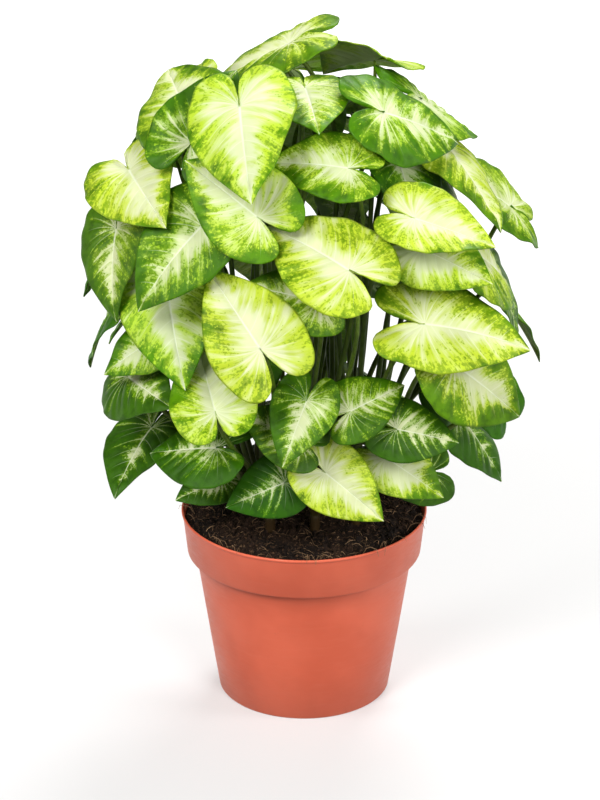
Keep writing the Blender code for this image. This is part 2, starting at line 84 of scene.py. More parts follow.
# Stems: one in the middle and a ring round it, each reaching down into the soil
STEM_RADIUS = 0.0027
STEM_DEPTH = 0.022
STEM_SIDES = 7
RING_STEMS = 8
RING_RADII = (0.0246, 0.0300)
RING_START = 0.25
MIDDLE_STEM_HEIGHT = 0.014
RING_STEM_HEIGHT = 0.009
STEM_SHOULDER_SHARE = 0.6
STEM_TOP_SHARE = 0.7

# Leaf stalks: shares of the way up that have a ring of points, and of the span that bend it
STALK_FOOT_RADIUS = 0.0015
STALK_TOP_RADIUS = 0.0011
STALK_NECK_RADIUS = 0.0003
STALK_SIDES = 3
STALK_SHARES = (0.0, 0.33, 0.66, 0.95, 1.0)
STALK_JOINT_FORWARD = 0.035
STALK_FOOT_REACH = 0.0021
STALK_FOOT_SHARE = 0.1
STALK_RISE = 0.38
STALK_SPLAY = 0.18
STALK_ARRIVAL = 0.30
STALK_ARRIVAL_TIPWARD = 0.56
STALK_BENDS = (0.0, 0.04, 0.07, 0.10, 0.13, 0.16, 0.19)
SHEATH_ZONE = 0.022

# Blades, drawn in polar form about the joint with the stalk, in units of the joint-to-tip length
BLADE_THICKNESS = 0.0008
BLADE_BODY = 0.44
TIP_SHARPNESS = 0.52
LOBE_ANGLE = 2.50
LOBE_SPREAD = 0.45
LOBE_CORNER = 30
VEIN_SLOPE = math.tan(math.radians(50))
VEIN_BOW = 0.28
VEIN_ANGLES = (0, 16, 44, 82, 124, 154)
SINUS_SHARE = 0.965
WAVES = 5
BLADE_COLUMNS = 2

# How one blade differs from the next: the lowest and highest of each measure of its form
Form = namedtuple("Form", "width lobe sinus fold arch droop lobe_droop twist wave phase")
FORM_RANGES = Form(
    width=(1.02, 1.16),
    lobe=(0.02, 0.10),
    sinus=(2.97, 3.09),
    fold=(0.10, 0.32),
    arch=(0.25, 0.60),
    droop=(0.06, 0.26),
    lobe_droop=(0.10, 0.50),
    twist=(-0.18, 0.18),
    wave=(0.006, 0.020),
    phase=(0.0, 6.3),
)

# Crown: the middles of the blades lie on a dome over the rim; heights are above the rim
DOME_TOP = 0.226
DOME_WIDEST = 0.110
DOME_RADIUS = 0.094
DOME_FOOT = 0.022
DOME_FOOT_RADIUS = 0.052
DOME_SQUARENESS = 2.4
DOME_FLARE = 0.7
DOME_STEPS = 60
LIGHT = Vector((0, -1, 0))
LEAVES_PER_STEM = 12
STEM_PULL = 0.36
LEAF_SPACING = 0.017
CLEARANCE = 0.0006
TRIES = 320
SHAKE = 0.016
SHAKE_FACING = 0.5
SHAKE_LEAN = 0.4
SHAKE_TURN = 0.8
SEED = 40

# A leaf that faces the light: its joint's place across and above the rim and its depth inside the
# dome, its lean back from level, the way its tip points from straight down (to the right is
# positive), and its length
Front = namedtuple("Front", "across height depth lean turn length")
FRONT_LIGHT_PULL = 2
FRONT_LEAVES = (
    Front(-0.021, 0.124, -0.004, 60, -145, 0.045),
    Front(0.054, 0.128, 0.000, 35, 77, 0.051),
    Front(0.009, 0.052, -0.002, 60, 50, 0.035),
    Front(0.019, 0.160, -0.004, 35, -132, 0.048),
    Front(-0.022, 0.180, 0.003, 60, -127, 0.043),
    Front(-0.052, 0.203, 0.000, 45, 160, 0.042),
    Front(-0.042, 0.086, -0.004, 35, -160, 0.040),
    Front(0.042, 0.072, 0.000, 60, 75, 0.031),
    Front(-0.010, 0.042, 0.004, 60, -67, 0.030),
    Front(0.000, 0.224, 0.000, 5, 8, 0.042),
    Front(0.049, 0.176, 0.000, 35, 64, 0.039),
    Front(0.019, 0.198, 0.006, 40, -103, 0.037),
    Front(0.045, 0.155, 0.014, 50, 90, 0.036),
    Front(0.013, 0.136, 0.010, 50, -130, 0.034),
    Front(0.024, 0.088, 0.010, 50, 125, 0.030),
    Front(0.003, 0.075, 0.012, 50, -135, 0.030),
    Front(0.029, 0.056, 0.009, 50, 60, 0.034),
    Front(-0.040, 0.030, 0.012, 40, -60, 0.024),
)

# Layers of leaves over the dome, by shares of its surface from the top down, and depth inside it
Layer = namedtuple("Layer", "count first last depth longest shortest")
LAYERS = (
    Layer(60, 0.00, 0.94, 0.000, 0.050, 0.044),
    Layer(18, 0.40, 0.90, 0.050, 0.048, 0.044),
    Layer(28, 0.10, 0.90, 0.026, 0.044, 0.040),
    Layer(10, 0.86, 1.00, 0.006, 0.032, 0.027),
    Layer(24, 0.20, 0.95, 0.014, 0.038, 0.034),
)
OPEN_FRONT_HEIGHT = 0.200
OPEN_FRONT_WIDTH = 0.80
OPEN_FRONT_DEPTH = 0.010
LENGTH_SPREAD = 0.12
HANGING_SHARE = 0.65
HANGING_TURN = 1.2
TOP_LEANS = (0.21, 0.52)
SIDE_LEAN = 0.56
LAYER_LIGHT_PULL = 0.6
LEAST_LIGHT_SHARE = 0.2
FACING_SPREAD = 0.4
MIDDLE_SHARE = 0.3

Leaf = namedtuple("Leaf", "stem joint facing lean turn length form")


def ring_points(radius, height, sides):
    return [
        Vector((radius * math.cos(a), radius * math.sin(a), height))
        for a in (2 * math.pi * i / sides for i in range(sides))
    ]


def turned_solid(profile, sides):
    """A closed solid turned from (radius, height) points that start and end on the axis."""
    vertices, rings = [], []
    for radius, height in profile:
        on_axis = radius == 0
        points = [Vector((0, 0, height))] if on_axis else ring_points(radius, height, sides)
        rings.append(range(len(vertices), len(vertices) + len(points)))
        vertices += points
    faces = []
    for lower, upper in zip(rings, rings[1:]):
        for i in range(sides):
            j = (i + 1) % sides
            corners = [lower[i % len(lower)], lower[j % len(lower)]]
            corners += [upper[j % len(upper)], upper[i % len(upper)]]
            faces.append(list(dict.fromkeys(corners)))
    return vertices, faces


def straight_at(height, low, high):
    """Radius at a height on the straight line between two (radius, height) points."""
    share = (height - low[1]) / (high[1] - low[1])
    return low[0] + share * (high[0] - low[0])


COLLAR_FOOT = POT_HEIGHT - COLLAR_HEIGHT
FLOOR_TOP = FOOT_RECESS + POT_WALL
INNER_FOOT = (BODY_FOOT_RADIUS - POT_WALL, 0.0)
INNER_SHOULDER = (BODY_TOP_RADIUS - POT_WALL, COLLAR_FOOT + POT_WALL)
INNER_COLLAR = (COLLAR_FOOT_RADIUS - POT_WALL, COLLAR_FOOT + POT_WALL)
INNER_RIM = (RIM_RADIUS - POT_WALL, POT_HEIGHT)


def foot_profile():
    """The pot's underside: a pad in the middle, a recess, and the foot ring's inner edge."""
    ring_inside = BODY_FOOT_RADIUS - FOOT_RING_WIDTH
    return [
        (0, 0),
        (CENTRE_PAD_RADIUS, 0),
        (CENTRE_PAD_RADIUS + FOOT_RECESS, FOOT_RECESS),
        (ring_inside - FOOT_RECESS, FOOT_RECESS),
        (ring_inside, 0),
    ]


def inside_profile():
    """The pot's inside below its rim, down to the middle of the floor."""
    floor_radius = straight_at(FLOOR_TOP, INNER_FOOT, INNER_SHOULDER)
    return [INNER_COLLAR, INNER_SHOULDER, (floor_radius, FLOOR_TOP), (0, FLOOR_TOP)]


def pot_profile():
    """The plain pot that the leaves keep clear of."""
    outside = [
        (BODY_FOOT_RADIUS, 0),
        (BODY_TOP_RADIUS, COLLAR_FOOT),
        (COLLAR_FOOT_RADIUS, COLLAR_FOOT),
        (RIM_RADIUS, POT_HEIGHT - LIP_ROUND),
        (RIM_RADIUS - LIP_ROUND, POT_HEIGHT),
        INNER_RIM,
    ]
    return foot_profile() + outside + inside_profile()


def soil_height(x, y):
    """Height of the soil's surface: a low heap with a gentle relief."""
    reach = min(1.0, math.hypot(x, y) / INNER_RIM[0])
    relief = noise.noise(Vector((x, y, 0)) * SOIL_RELIEF_SCALE)
    return SOIL_EDGE + SOIL_HEAP * (1 - reach**2) + SOIL_RELIEF * relief * (1 - reach**SOIL_CALM_EDGE)


def soil_profile(top_rings):
    """The soil's section: stepped like the pot's inside, with rings of points over its top."""
    edge_radius = straight_at(SOIL_EDGE, INNER_COLLAR, INNER_RIM) - SOIL_GAP
    bottom = FLOOR_TOP + SOIL_GAP
    ledge = INNER_COLLAR[1] + SOIL_GAP
    profile = [
        (0, bottom),
        (straight_at(bottom, INNER_FOOT, INNER_SHOULDER) - SOIL_GAP, bottom),
        (INNER_SHOULDER[0] - SOIL_GAP, ledge),
        (INNER_COLLAR[0] - SOIL_GAP, ledge),
        (edge_radius, SOIL_EDGE),
    ]
    rings = [edge_radius * (1 - (i + 1) / (top_rings + 1)) for i in range(top_rings)]
    return profile + [(radius, POT_HEIGHT) for radius in rings] + [(0, POT_HEIGHT)]


def soil_block():
    """The plain soil that the leaves keep clear of."""
    vertices, faces = turned_solid(soil_profile(SOIL_RINGS), POT_SIDES)
    for v in vertices:
        if v.z == POT_HEIGHT:
            v.z = soil_height(v.x, v.y)
    return vertices, faces


def stem_feet():
    """Where each stem meets the soil's surface: the middle one first, then the ring."""
    places = [(0.0, 0.0)]
    for i in range(RING_STEMS):
        angle = 2 * math.pi * (i + RING_START) / RING_STEMS
        reach = RING_RADII[i % 2]
        places.append((reach * math.cos(angle), reach * math.sin(angle)))
    return [Vector((x, y, soil_height(x, y))) for x, y in places]


def stem_height(stem):
    return RING_STEM_HEIGHT if stem else MIDDLE_STEM_HEIGHT


def stem_solid(foot, height):
    profile = [
        (0, -STEM_DEPTH),
        (STEM_RADIUS, -STEM_DEPTH),
        (STEM_RADIUS, STEM_SHOULDER_SHARE * height),
        (STEM_TOP_SHARE * STEM_RADIUS, height),
        (0, height + STEM_RADIUS / 2),
    ]
    vertices, faces = turned_solid(profile, STEM_SIDES)
    return [v + foot for v in vertices], faces


def margin_distance(angle, form):
    """Distance from the joint to the blade's edge, in blade lengths, at an angle from the tip."""
    reach = BLADE_BODY + (1 - BLADE_BODY) * math.exp(-angle / TIP_SHARPNESS)
    reach += form.lobe * math.exp(-(((angle - LOBE_ANGLE) / LOBE_SPREAD) ** 2))
    corner = min(1.0, angle / form.sinus) ** LOBE_CORNER
    return reach * math.sqrt(max(0.0, 1 - corner))


def blade_angles(form):
    """Angles of the vein rows, from the tip to the edge of the notch behind the joint."""
    return [math.radians(a) for a in VEIN_ANGLES] + [SINUS_SHARE * form.sinus]


def blade_point(form, angle, share):
    """A point of half a blade of unit length, by its share of the way along the vein at an angle."""
    reach = margin_distance(angle, form)
    x_edge, y_edge = reach * math.cos(angle), reach * math.sin(angle) * form.width
    x_root = max(0.0, x_edge - y_edge / VEIN_SLOPE)
    span = math.hypot(x_edge - x_root, y_edge)
    bow = VEIN_BOW * span * share * (1 - share)
    return x_root + (x_edge - x_root) * share - bow, y_edge * share


def blade_height(form, x, y, angle, share, side):
    """How far the blade's middle surface stands above its plane."""
    lift = form.fold * y - form.arch * y * y
    lift -= (form.droop if x > 0 else form.lobe_droop) * x * x
    lift += form.twist * side * x * y
    return lift + form.wave * math.sin(WAVES * angle + form.phase * side) * share**2


def blade_surface(form, length, angles, columns):
    """Vertices and triangles of a blade's middle surface."""
    vertices, index, faces = [], {}, []

    def vertex(side, row, column):
        x, y = blade_point(form, angles[row], column / columns)
        key = (round(x, 6), round(side * y, 6))
        if key not in index:
            lift = blade_height(form, x, y, angles[row], column / columns, side)
            index[key] = len(vertices)
            vertices.append(Vector((x, side * y, lift)) * length)
        return index[key]

    for side in (1, -1):
        for row in range(len(angles) - 1):
            for column in range(columns):
                a, b = vertex(side, row, column), vertex(side, row, column + 1)
                c, d = vertex(side, row + 1, column + 1), vertex(side, row + 1, column)
                for corners in ((a, b, c), (a, c, d)):
                    if len(set(corners)) == 3:
                        faces.append(corners[::side])
    return vertices, faces


def thicken(vertices, faces, thickness):
    """A closed solid from a surface: both faces split alike, and a wall round the open edge."""
    normals = [Vector() for _ in vertices]
    for a, b, c in faces:
        normal = (vertices[b] - vertices[a]).cross(vertices[c] - vertices[a])
        for i in (a, b, c):
            normals[i] += normal
    half = [n.normalized() * thickness / 2 for n in normals]
    count = len(vertices)
    solid = [v + h for v, h in zip(vertices, half)] + [v - h for v, h in zip(vertices, half)]
    edges = {(a, b) for f in faces for a, b in zip(f, f[1:] + f[:1])}
    walls = []
    for a, b in sorted(edges):
        if (b, a) not in edges:
            walls += [(b, a, a + count), (b, a + count, b + count)]
    under = [tuple(i + count for i in reversed(f)) for f in faces]
    return solid, list(faces) + under + walls


def leaf_matrix(leaf):
    """Places a blade drawn in XY with its tip along +X."""
    outward = Vector((math.cos(leaf.facing), math.sin(leaf.facing), 0))
    up = Vector((0, 0, 1))
    normal = outward * math.sin(leaf.lean) + up * math.cos(leaf.lean)
    downhill = outward * math.cos(leaf.lean) - up * math.sin(leaf.lean)
    tip = downhill * math.cos(leaf.turn) + up.cross(outward) * math.sin(leaf.turn)
    rotation = Matrix((tip, normal.cross(tip), normal)).transposed().to_4x4()
    return Matrix.Translation(leaf.joint) @ rotation


def blade_solid(form, length, thickness):
    """A blade's closed solid, drawn in XY with its joint at the origin."""
    vertices, faces = blade_surface(form, length, blade_angles(form), BLADE_COLUMNS)
    return thicken(vertices, faces, thickness)


def placed(solid, place):
    return [place @ v for v in solid[0]], solid[1]


def stalk_curve(leaf, foot, bend):
    """The four control points of a stalk's curve, from inside the stem to the blade's joint."""
    place = leaf_matrix(leaf)
    end = place @ Vector((STALK_JOINT_FORWARD * leaf.length, 0, 0))
    arrival = place.to_3x3() @ Vector((STALK_ARRIVAL_TIPWARD, 0, 1)).normalized()
    height = min(stem_height(leaf.stem), STALK_FOOT_SHARE * leaf.joint.z)
    way = (end.xy - foot.xy).to_3d()
    start = foot + Vector((0, 0, height)) + STALK_FOOT_REACH * way.normalized()
    span = (end - start).length
    first = start + Vector((0, 0, STALK_RISE * span)) + STALK_SPLAY * way + bend * span
    second = end - arrival * STALK_ARRIVAL * span + bend * span / 2
    return start, first, second, end


def curve_points(curve):
    points = []
    for t in STALK_SHARES:
        weights = ((1 - t) ** 3, 3 * t * (1 - t) ** 2, 3 * t * t * (1 - t), t**3)
        points.append(sum((w * p for w, p in zip(weights, curve)), Vector()))
    return points


def above_height(path, height):
    """The stretch of a path above a height, or its last two spans where it stays below."""
    for i, (low, high) in enumerate(zip(path[:-3], path[1:])):
        if high.z > height:
            share = max(0.0, (height - low.z) / (high.z - low.z))
            return [low.lerp(high, share)] + path[i + 1 :]
    return path[-3:]


def stalk_radii(count):
    """The last rings of a stalk: it thins upwards, and necks where it enters the blade."""
    shares = STALK_SHARES[-count:]
    radii = [STALK_FOOT_RADIUS + (STALK_TOP_RADIUS - STALK_FOOT_RADIUS) * t for t in shares]
    return radii[:-1] + [STALK_NECK_RADIUS]


def tube_solid(points, radii, sides):
    """A closed tube along the points, with one radius for each."""
    vertices, faces = [], []
    across = Vector((1, 0, 0))
    for i, point in enumerate(points):
        along = (points[min(i + 1, len(points) - 1)] - points[max(i - 1, 0)]).normalized()
        across = (across - along * across.dot(along)).normalized()
        other = along.cross(across)
        for k in range(sides):
            a = 2 * math.pi * k / sides
            vertices.append(point + radii[i] * (math.cos(a) * across + math.sin(a) * other))
    for i in range(len(points) - 1):
        for k in range(sides):
            j, row, above = (k + 1) % sides, i * sides, (i + 1) * sides
            faces += [(row + k, row + j, above + j), (row + k, above + j, above + k)]
    top = len(vertices) - sides
    faces.append(tuple(reversed(range(sides))))
    faces.append(tuple(range(top, top + sides)))
    return vertices, faces


def stalk_solid(points, grow=0.0):
    return tube_solid(points, [radius + grow for radius in stalk_radii(len(points))], STALK_SIDES)


def tree_of(solid):
    return BVHTree.FromPolygons(*solid)


def dome_radius(height):
    """Radius of the crown at a height above the rim."""
    if height > DOME_WIDEST:
        share = min(1.0, (height - DOME_WIDEST) / (DOME_TOP - DOME_WIDEST))
        return DOME_RADIUS * (1 - share**DOME_SQUARENESS) ** (1 / DOME_SQUARENESS)
    share = max(0.0, (height - DOME_FOOT) / (DOME_WIDEST - DOME_FOOT))
    return DOME_FOOT_RADIUS + (DOME_RADIUS - DOME_FOOT_RADIUS) * share**DOME_FLARE


def dome_height(share):
    """Height above the rim of the ring that has this share of the dome's surface above it."""
    steps = [i / DOME_STEPS for i in range(DOME_STEPS + 1)]
    heights = [DOME_WIDEST + (DOME_TOP - DOME_WIDEST) * math.cos(math.pi / 2 * s) for s in steps]
    heights += [DOME_WIDEST + (DOME_FOOT - DOME_WIDEST) * s for s in steps[1:]]
    rings = [(dome_radius(h), h) for h in heights]
    areas = [0.0]
    for (r, h), (next_r, next_h) in zip(rings, rings[1:]):
        areas.append(areas[-1] + (r + next_r) * math.hypot(next_r - r, next_h - h))
    return next(h for h, area in zip(heights, areas) if area >= share * areas[-1])


class Crown:
    """The leaves placed so far, and what a new one has to stay clear of."""

    def __init__(self, feet):
        self.feet = feet
        self.random = random.Random(SEED)
        self.leaves = []
        self.curves = []
        self.paleness = []
        self.whole = []
        self.above = []
        self.stems = [tree_of(stem_solid(f, stem_height(i))) for i, f in enumerate(feet)]
        self.holder = [tree_of(turned_solid(pot_profile(), POT_SIDES)), tree_of(soil_block())]

    def draw(self, low, high):
        return self.random.uniform(low, high)

    def draw_vector(self, size):
        return size * Vector([self.draw(-1, 1) for _ in range(3)])

    def draw_form(self):
        return Form(*[self.draw(low, high) for low, high in FORM_RANGES])

    def nearest_stem(self, joint):
        counts = [sum(leaf.stem == i for leaf in self.leaves) for i in range(len(self.feet))]
        free = [i for i in range(len(self.feet)) if counts[i] < LEAVES_PER_STEM]
        return min(free, key=lambda i: (self.feet[i].xy - STEM_PULL * joint.xy).length)

    def shaken(self, leaf, amount):
        """The leaf moved and turned at random, by more the larger the amount."""
        return leaf._replace(
            joint=leaf.joint + self.draw_vector(SHAKE * amount),
            facing=leaf.facing + self.draw(-SHAKE_FACING, SHAKE_FACING) * amount,
            lean=leaf.lean + self.draw(-SHAKE_LEAN, SHAKE_LEAN) * amount,
            turn=leaf.turn + self.draw(-SHAKE_TURN, SHAKE_TURN) * amount,
        )

    def is_clear(self, tree, upper, stem):
        if any(tree.overlap(other) for other in self.holder):
            return False
        if any(tree.overlap(other) for i, other in enumerate(self.stems) if i != stem):
            return False
        for leaf, whole, above in zip(self.leaves, self.whole, self.above):
            if leaf.stem == stem and upper.overlap(above):
                return False
            if leaf.stem != stem and tree.overlap(whole):
                return False
        return True

    def try_leaf(self, leaf, paleness):
        """Shakes the leaf further and further from its place until it fits, and then keeps it."""
        wide = blade_solid(leaf.form, leaf.length + CLEARANCE, BLADE_THICKNESS + 2 * CLEARANCE)
        for attempt in range(TRIES):
            trial = self.shaken(leaf, attempt / TRIES)
            tree = tree_of(placed(wide, leaf_matrix(trial)))
            if self.is_clear(tree, tree, trial.stem) and self.try_stalk(trial):
                self.paleness.append(paleness)
                return

    def try_stalk(self, leaf):
        """Bends the stalk until it runs clear of everything, and keeps the leaf if it does."""
        for bend_size in STALK_BENDS:
            curve = stalk_curve(leaf, self.feet[leaf.stem], self.draw_vector(bend_size))
            path = curve_points(curve)
            upper = above_height(path, self.feet[leaf.stem].z + SHEATH_ZONE)
            tree = tree_of(stalk_solid(path, CLEARANCE))
            upper_tree = tree_of(stalk_solid(upper, CLEARANCE))
            if self.is_clear(tree, upper_tree, leaf.stem):
                blade = placed(blade_solid(leaf.form, leaf.length, BLADE_THICKNESS), leaf_matrix(leaf))
                self.leaves.append(leaf)
                self.curves.append(curve)
                self.whole.append(tree_of(merged(blade, stalk_solid(path))))
                self.above.append(tree_of(merged(blade, stalk_solid(upper))))
                return True
        return False

    def add_front_leaf(self, front, paleness):
        radius = dome_radius(front.height)
        y = front.depth - math.sqrt(max(0.0, radius**2 - front.across**2))
        joint = Vector((front.across, y, POT_HEIGHT + front.height))
        way = FRONT_LIGHT_PULL * LIGHT + Vector((front.across, y, 0)) / DOME_RADIUS
        facing = math.atan2(way.y, way.x)
        lean, turn = math.radians(front.lean), math.radians(front.turn)
        stem = self.nearest_stem(joint)
        leaf = Leaf(stem, joint, facing, lean, turn, front.length, self.draw_form())
        self.try_leaf(leaf, paleness)

    def add_layer_leaf(self, layer, share, azimuth, paleness):
        height = dome_height(layer.first + (layer.last - layer.first) * share)
        outward = Vector((math.cos(azimuth), math.sin(azimuth), 0))
        in_front = height < OPEN_FRONT_HEIGHT and outward.dot(LIGHT) > OPEN_FRONT_WIDTH
        if in_front and layer.depth < OPEN_FRONT_DEPTH:
            return
        length = layer.longest + (layer.shortest - layer.longest) * share
        length *= self.draw(1 - LENGTH_SPREAD, 1 + LENGTH_SPREAD)
        hanging = self.draw(0, 1) < HANGING_SHARE
        turn = self.draw(-1, 1) * (HANGING_TURN if hanging else math.pi)
        steepness = dome_radius(height) / DOME_RADIUS
        lean = self.draw(*TOP_LEANS) + SIDE_LEAN * steepness
        way = outward + LAYER_LIGHT_PULL * LIGHT * max(LEAST_LIGHT_SHARE, 1 - steepness)
        facing = math.atan2(way.y, way.x) + self.draw(-FACING_SPREAD, FACING_SPREAD)
        middle = outward * (dome_radius(height) - layer.depth) + Vector((0, 0, POT_HEIGHT + height))
        leaf = Leaf(0, middle, facing, lean, turn, length, self.draw_form())
        joint = middle - MIDDLE_SHARE * length * leaf_matrix(leaf).col[0].to_3d()
        if all((other.joint - joint).length > LEAF_SPACING for other in self.leaves):
            self.try_leaf(leaf._replace(joint=joint, stem=self.nearest_stem(joint)), paleness)

    def fill(self):
        looks = random.Random(LOOKS_SEED)
        for front, paleness in zip(FRONT_LEAVES, FRONT_PALENESS):
            self.add_front_leaf(front, paleness)
        golden_angle = math.pi * (3 - math.sqrt(5))
        for layer, (palest, darkest) in zip(LAYERS, LAYER_PALENESS):
            for i in range(layer.count):
                share = (i + 0.5) / layer.count
                paleness = palest + (darkest - palest) * share
                paleness += looks.uniform(-PALENESS_SPREAD, PALENESS_SPREAD)
                paleness = min(1.0, max(LEAST_PALENESS, paleness))
                self.add_layer_leaf(layer, share, i * golden_angle, paleness)


def merged(first, second):
    offset = len(first[0])
    moved = [tuple(i + offset for i in face) for face in second[1]]
    return list(first[0]) + list(second[0]), [tuple(f) for f in first[1]] + moved


# Looks of the leaves: each front leaf's paleness, then the layers' at the top and at the bottom
FRONT_PALENESS = (
    1.00, 0.78, 0.86, 0.92, 0.88, 0.42, 0.72, 0.20, 0.25,
    0.70, 0.97, 0.70, 0.85, 0.50, 0.45, 0.35, 0.80, 0.15,
)
LAYER_PALENESS = ((0.85, 0.35), (0.35, 0.15), (0.50, 0.22), (0.40, 0.15), (0.60, 0.30))
PALENESS_SPREAD = 0.30
LEAST_PALENESS = 0.08
LOOKS_SEED = 31

# Fine blade: lateral veins by their angle from the tip, rows of points between two of them, and
# shares of the way from the midrib to the edge that have a point
LATERALS = (0, 10, 17, 25, 34, 45, 62, 84, 108, 134, 156)
ROWS_PER_GAP = 5
ROWS = ROWS_PER_GAP * len(LATERALS)
EDGE_SHARES = (0.0, 0.035, 0.10, 0.19, 0.30, 0.42, 0.54, 0.66, 0.77, 0.87, 0.95, 1.0)
COLUMNS = len(EDGE_SHARES) - 1
TIP_CALM = 0.25
GROOVE_SHARE = 0.035
UNEVEN_DEPTH = 0.026
UNEVEN_SCALE = 3.4
RIPPLE_DEPTH = 0.008
RIPPLES = 12

# Marks in a blade's pattern: how fine they are, and how far they carry the cream towards the edge.
# Its two halves read the noise HALF_SHIFT apart. Streaks and specks follow the rows of veins.
Marks = namedtuple("Marks", "scale detail roughness pull")
LOPSIDEDNESS = Marks(1.0, 0.0, 0.5, 0.70)
BLOTCHES = Marks(2.9, 1.5, 0.5, 1.70)
STREAKS = Marks(2.6, 2.0, 0.6, 0.85)
SPECKS = Marks(1.0, 2.5, 0.6, 1.50)
DOTS = Marks(36.0, 3.5, 0.6, 1.70)
HALF_SHIFT = 7.3
STREAK_LENGTH = 0.6
SPECK_ROWS = 7.5
SPECK_SHARES = 6.0
VEIN_RELIEF = 0.00030
TISSUE_RELIEF = 0.00006

# Stalks and stems
STALK_RESOLUTION = 14
STALK_ROUNDNESS = 2
STALK_TOP_GAP = 0.0004
STALK_END_SHARE = 0.45
STEM_SEGMENTS = 16
STEM_SWELLS = 8
STEM_WAIST = 0.88

# Materials of a leafy stem, in the order of its slots
LEAF_MATERIALS = ("upper_blade", "under_blade", "leaf_stalk")
UPPER_SLOT, STALK_SLOT = 0, 2

# Pot: how far in and up or down its edges are rounded, and the bead that runs round it under the lip
LATHE_SEGMENTS = 112
AXIS_RING = 0.00004
FOOT_ROUND = (0.0006, 0.0008)
COLLAR_ROUND = (0.0004, 0.0006)
BODY_RINGS = (0.030, 0.060)
BEAD_DROP = 0.0016
BEAD_DEPTH = 0.0005
BEAD_RISE = (-0.0002, 0.0001)
RIM_ROUND = (0.0004, 0.0005)
INNER_RIM_ROUND = (0.0003, 0.0004)
POT_BEVEL = 0.00035
POT_BEVEL_ANGLE = 28
DRAIN_SEGMENTS = 24

# Soil: its clods by scale and depth, and what lies loose on it
SOIL_SURFACE_RINGS = 44
CLOD_RELIEFS = ((230.0, 0.0011), (620.0, 0.0006))
CLOD_LAYER = 0.3
CLOD_CALM_EDGE = 12
SOIL_TOP_RADIUS = 0.0575
CRUMB_SHAPES = 8
CRUMB_ROUGHNESS = 0.45
CHIP_SHARE = 0.35
CHIP_LENGTHS = (1.3, 2.6)
CRUMB_SMALLEST = 0.00035
CRUMB_LARGEST = 0.0019
CRUMB_SPREAD = 0.55
CRUMB_SINK = (-0.3, 0.5)
CRUMB_WIDTHS = (0.55, 1.15)
CRUMB_DARKNESS = 2.5
LARGE_CRUMB_DARKNESS = 0.55
FIBRE_POINTS = 6
FIBRE_SIDES = 3
FIBRE_RADII = (0.00009, 0.00024)
FIBRE_LENGTHS = (0.002, 0.010)
FIBRE_LIFTS = (-0.0003, 0.0016)
FIBRE_WANDER = 0.13
FIBRE_TAPER = 0.7
OVER_LIP_SHARE = 0.45
RIM_FIBRE_DRIFT = 0.006
RIM_FIBRE_TAPER = (0.6, 1.0, 0.9, 0.7, 0.35)

# Softboxes: the setting that holds their power, their place, the height they aim at, and their width
Softbox = namedtuple("Softbox", "setting place aim width")
SOFTBOXES = (
    Softbox("key", (-0.9, -1.5, 1.7), 0.18, 0.9),
    Softbox("fill", (0.9, -1.9, 1.05), 0.15, 1.1),
    Softbox("side", (-1.4, -0.35, 0.80), 0.15, 0.6),
    Softbox("side", (1.4, -0.35, 0.80), 0.15, 0.6),
    Softbox("top", (0.4, 1.2, 1.6), 0.20, 1.0),
)

# Floor: its width, and the distances from the plant between which its own light grows to white
FLOOR_WIDTH = 16.0
FLOOR_NEAR = 0.25
FLOOR_FAR = 1.8

# Camera, apart from its settings in the panel
SENSOR_WIDTH = 36.0
CLIP_RANGE = (0.05, 60.0)


def deselect_all():
    if bpy.context.object and bpy.context.object.mode != "OBJECT":
        bpy.ops.object.mode_set(mode="OBJECT")
    bpy.ops.object.select_all(action="DESELECT")


def finish_piece(piece, name, slot, *nodes):
    """Names a piece, puts it under the root body and hides the nodes that it stands for; its slot is not
    used.
    """
    piece.name = name
    piece.data.name = name
    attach(piece, "root")
    if nodes:
        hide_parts(*nodes)


def apply_modifier(obj, kind, **settings):
    bpy.context.view_layer.objects.active = obj
    modifier = obj.modifiers.new(kind.lower(), kind)
    for key, value in settings.items():
        setattr(modifier, key, value)
    bpy.ops.object.modifier_apply(modifier=modifier.name)


def turn_on_lathe(name, profile, segments):
    """A closed shell turned round Z from (radius, height) points, ring extruded after ring."""
    deselect_all()
    radius, height = max(profile[0][0], AXIS_RING), profile[0][1]
    bpy.ops.mesh.primitive_circle_add(vertices=segments, radius=radius)
    obj = bpy.context.object
    obj.name = name
    bpy.ops.object.mode_set(mode="EDIT")
    bpy.ops.mesh.select_all(action="SELECT")
    bpy.ops.transform.translate(value=(0, 0, height))
    for next_radius, next_height in profile[1:]:
        next_radius = max(next_radius, AXIS_RING)
        scale = next_radius / radius
        bpy.ops.mesh.extrude_region()
        bpy.ops.transform.resize(value=(scale, scale, 1), center_override=(0, 0, height))
        bpy.ops.transform.translate(value=(0, 0, next_height - height))
        radius, height = next_radius, next_height
    bpy.ops.object.mode_set(mode="OBJECT")
    for vertex in obj.data.vertices:
        if vertex.co.xy.length < 2 * AXIS_RING:
            vertex.co.xy = (0, 0)
    bpy.ops.object.mode_set(mode="EDIT")
    bpy.ops.mesh.select_all(action="SELECT")
    bpy.ops.mesh.remove_doubles(threshold=AXIS_RING / 8)
    bpy.ops.mesh.normals_make_consistent(inside=False)
    bpy.ops.object.mode_set(mode="OBJECT")
    return obj


def shade_smooth(obj, degrees):
    deselect_all()
    obj.select_set(True)
    bpy.context.view_layer.objects.active = obj
    bpy.ops.object.shade_smooth_by_angle(angle=math.radians(degrees))


def join_pieces(pieces):
    deselect_all()
    for piece in pieces:
        piece.select_set(True)
    bpy.context.view_layer.objects.active = pieces[0]
    bpy.ops.object.join()
    return pieces[0]


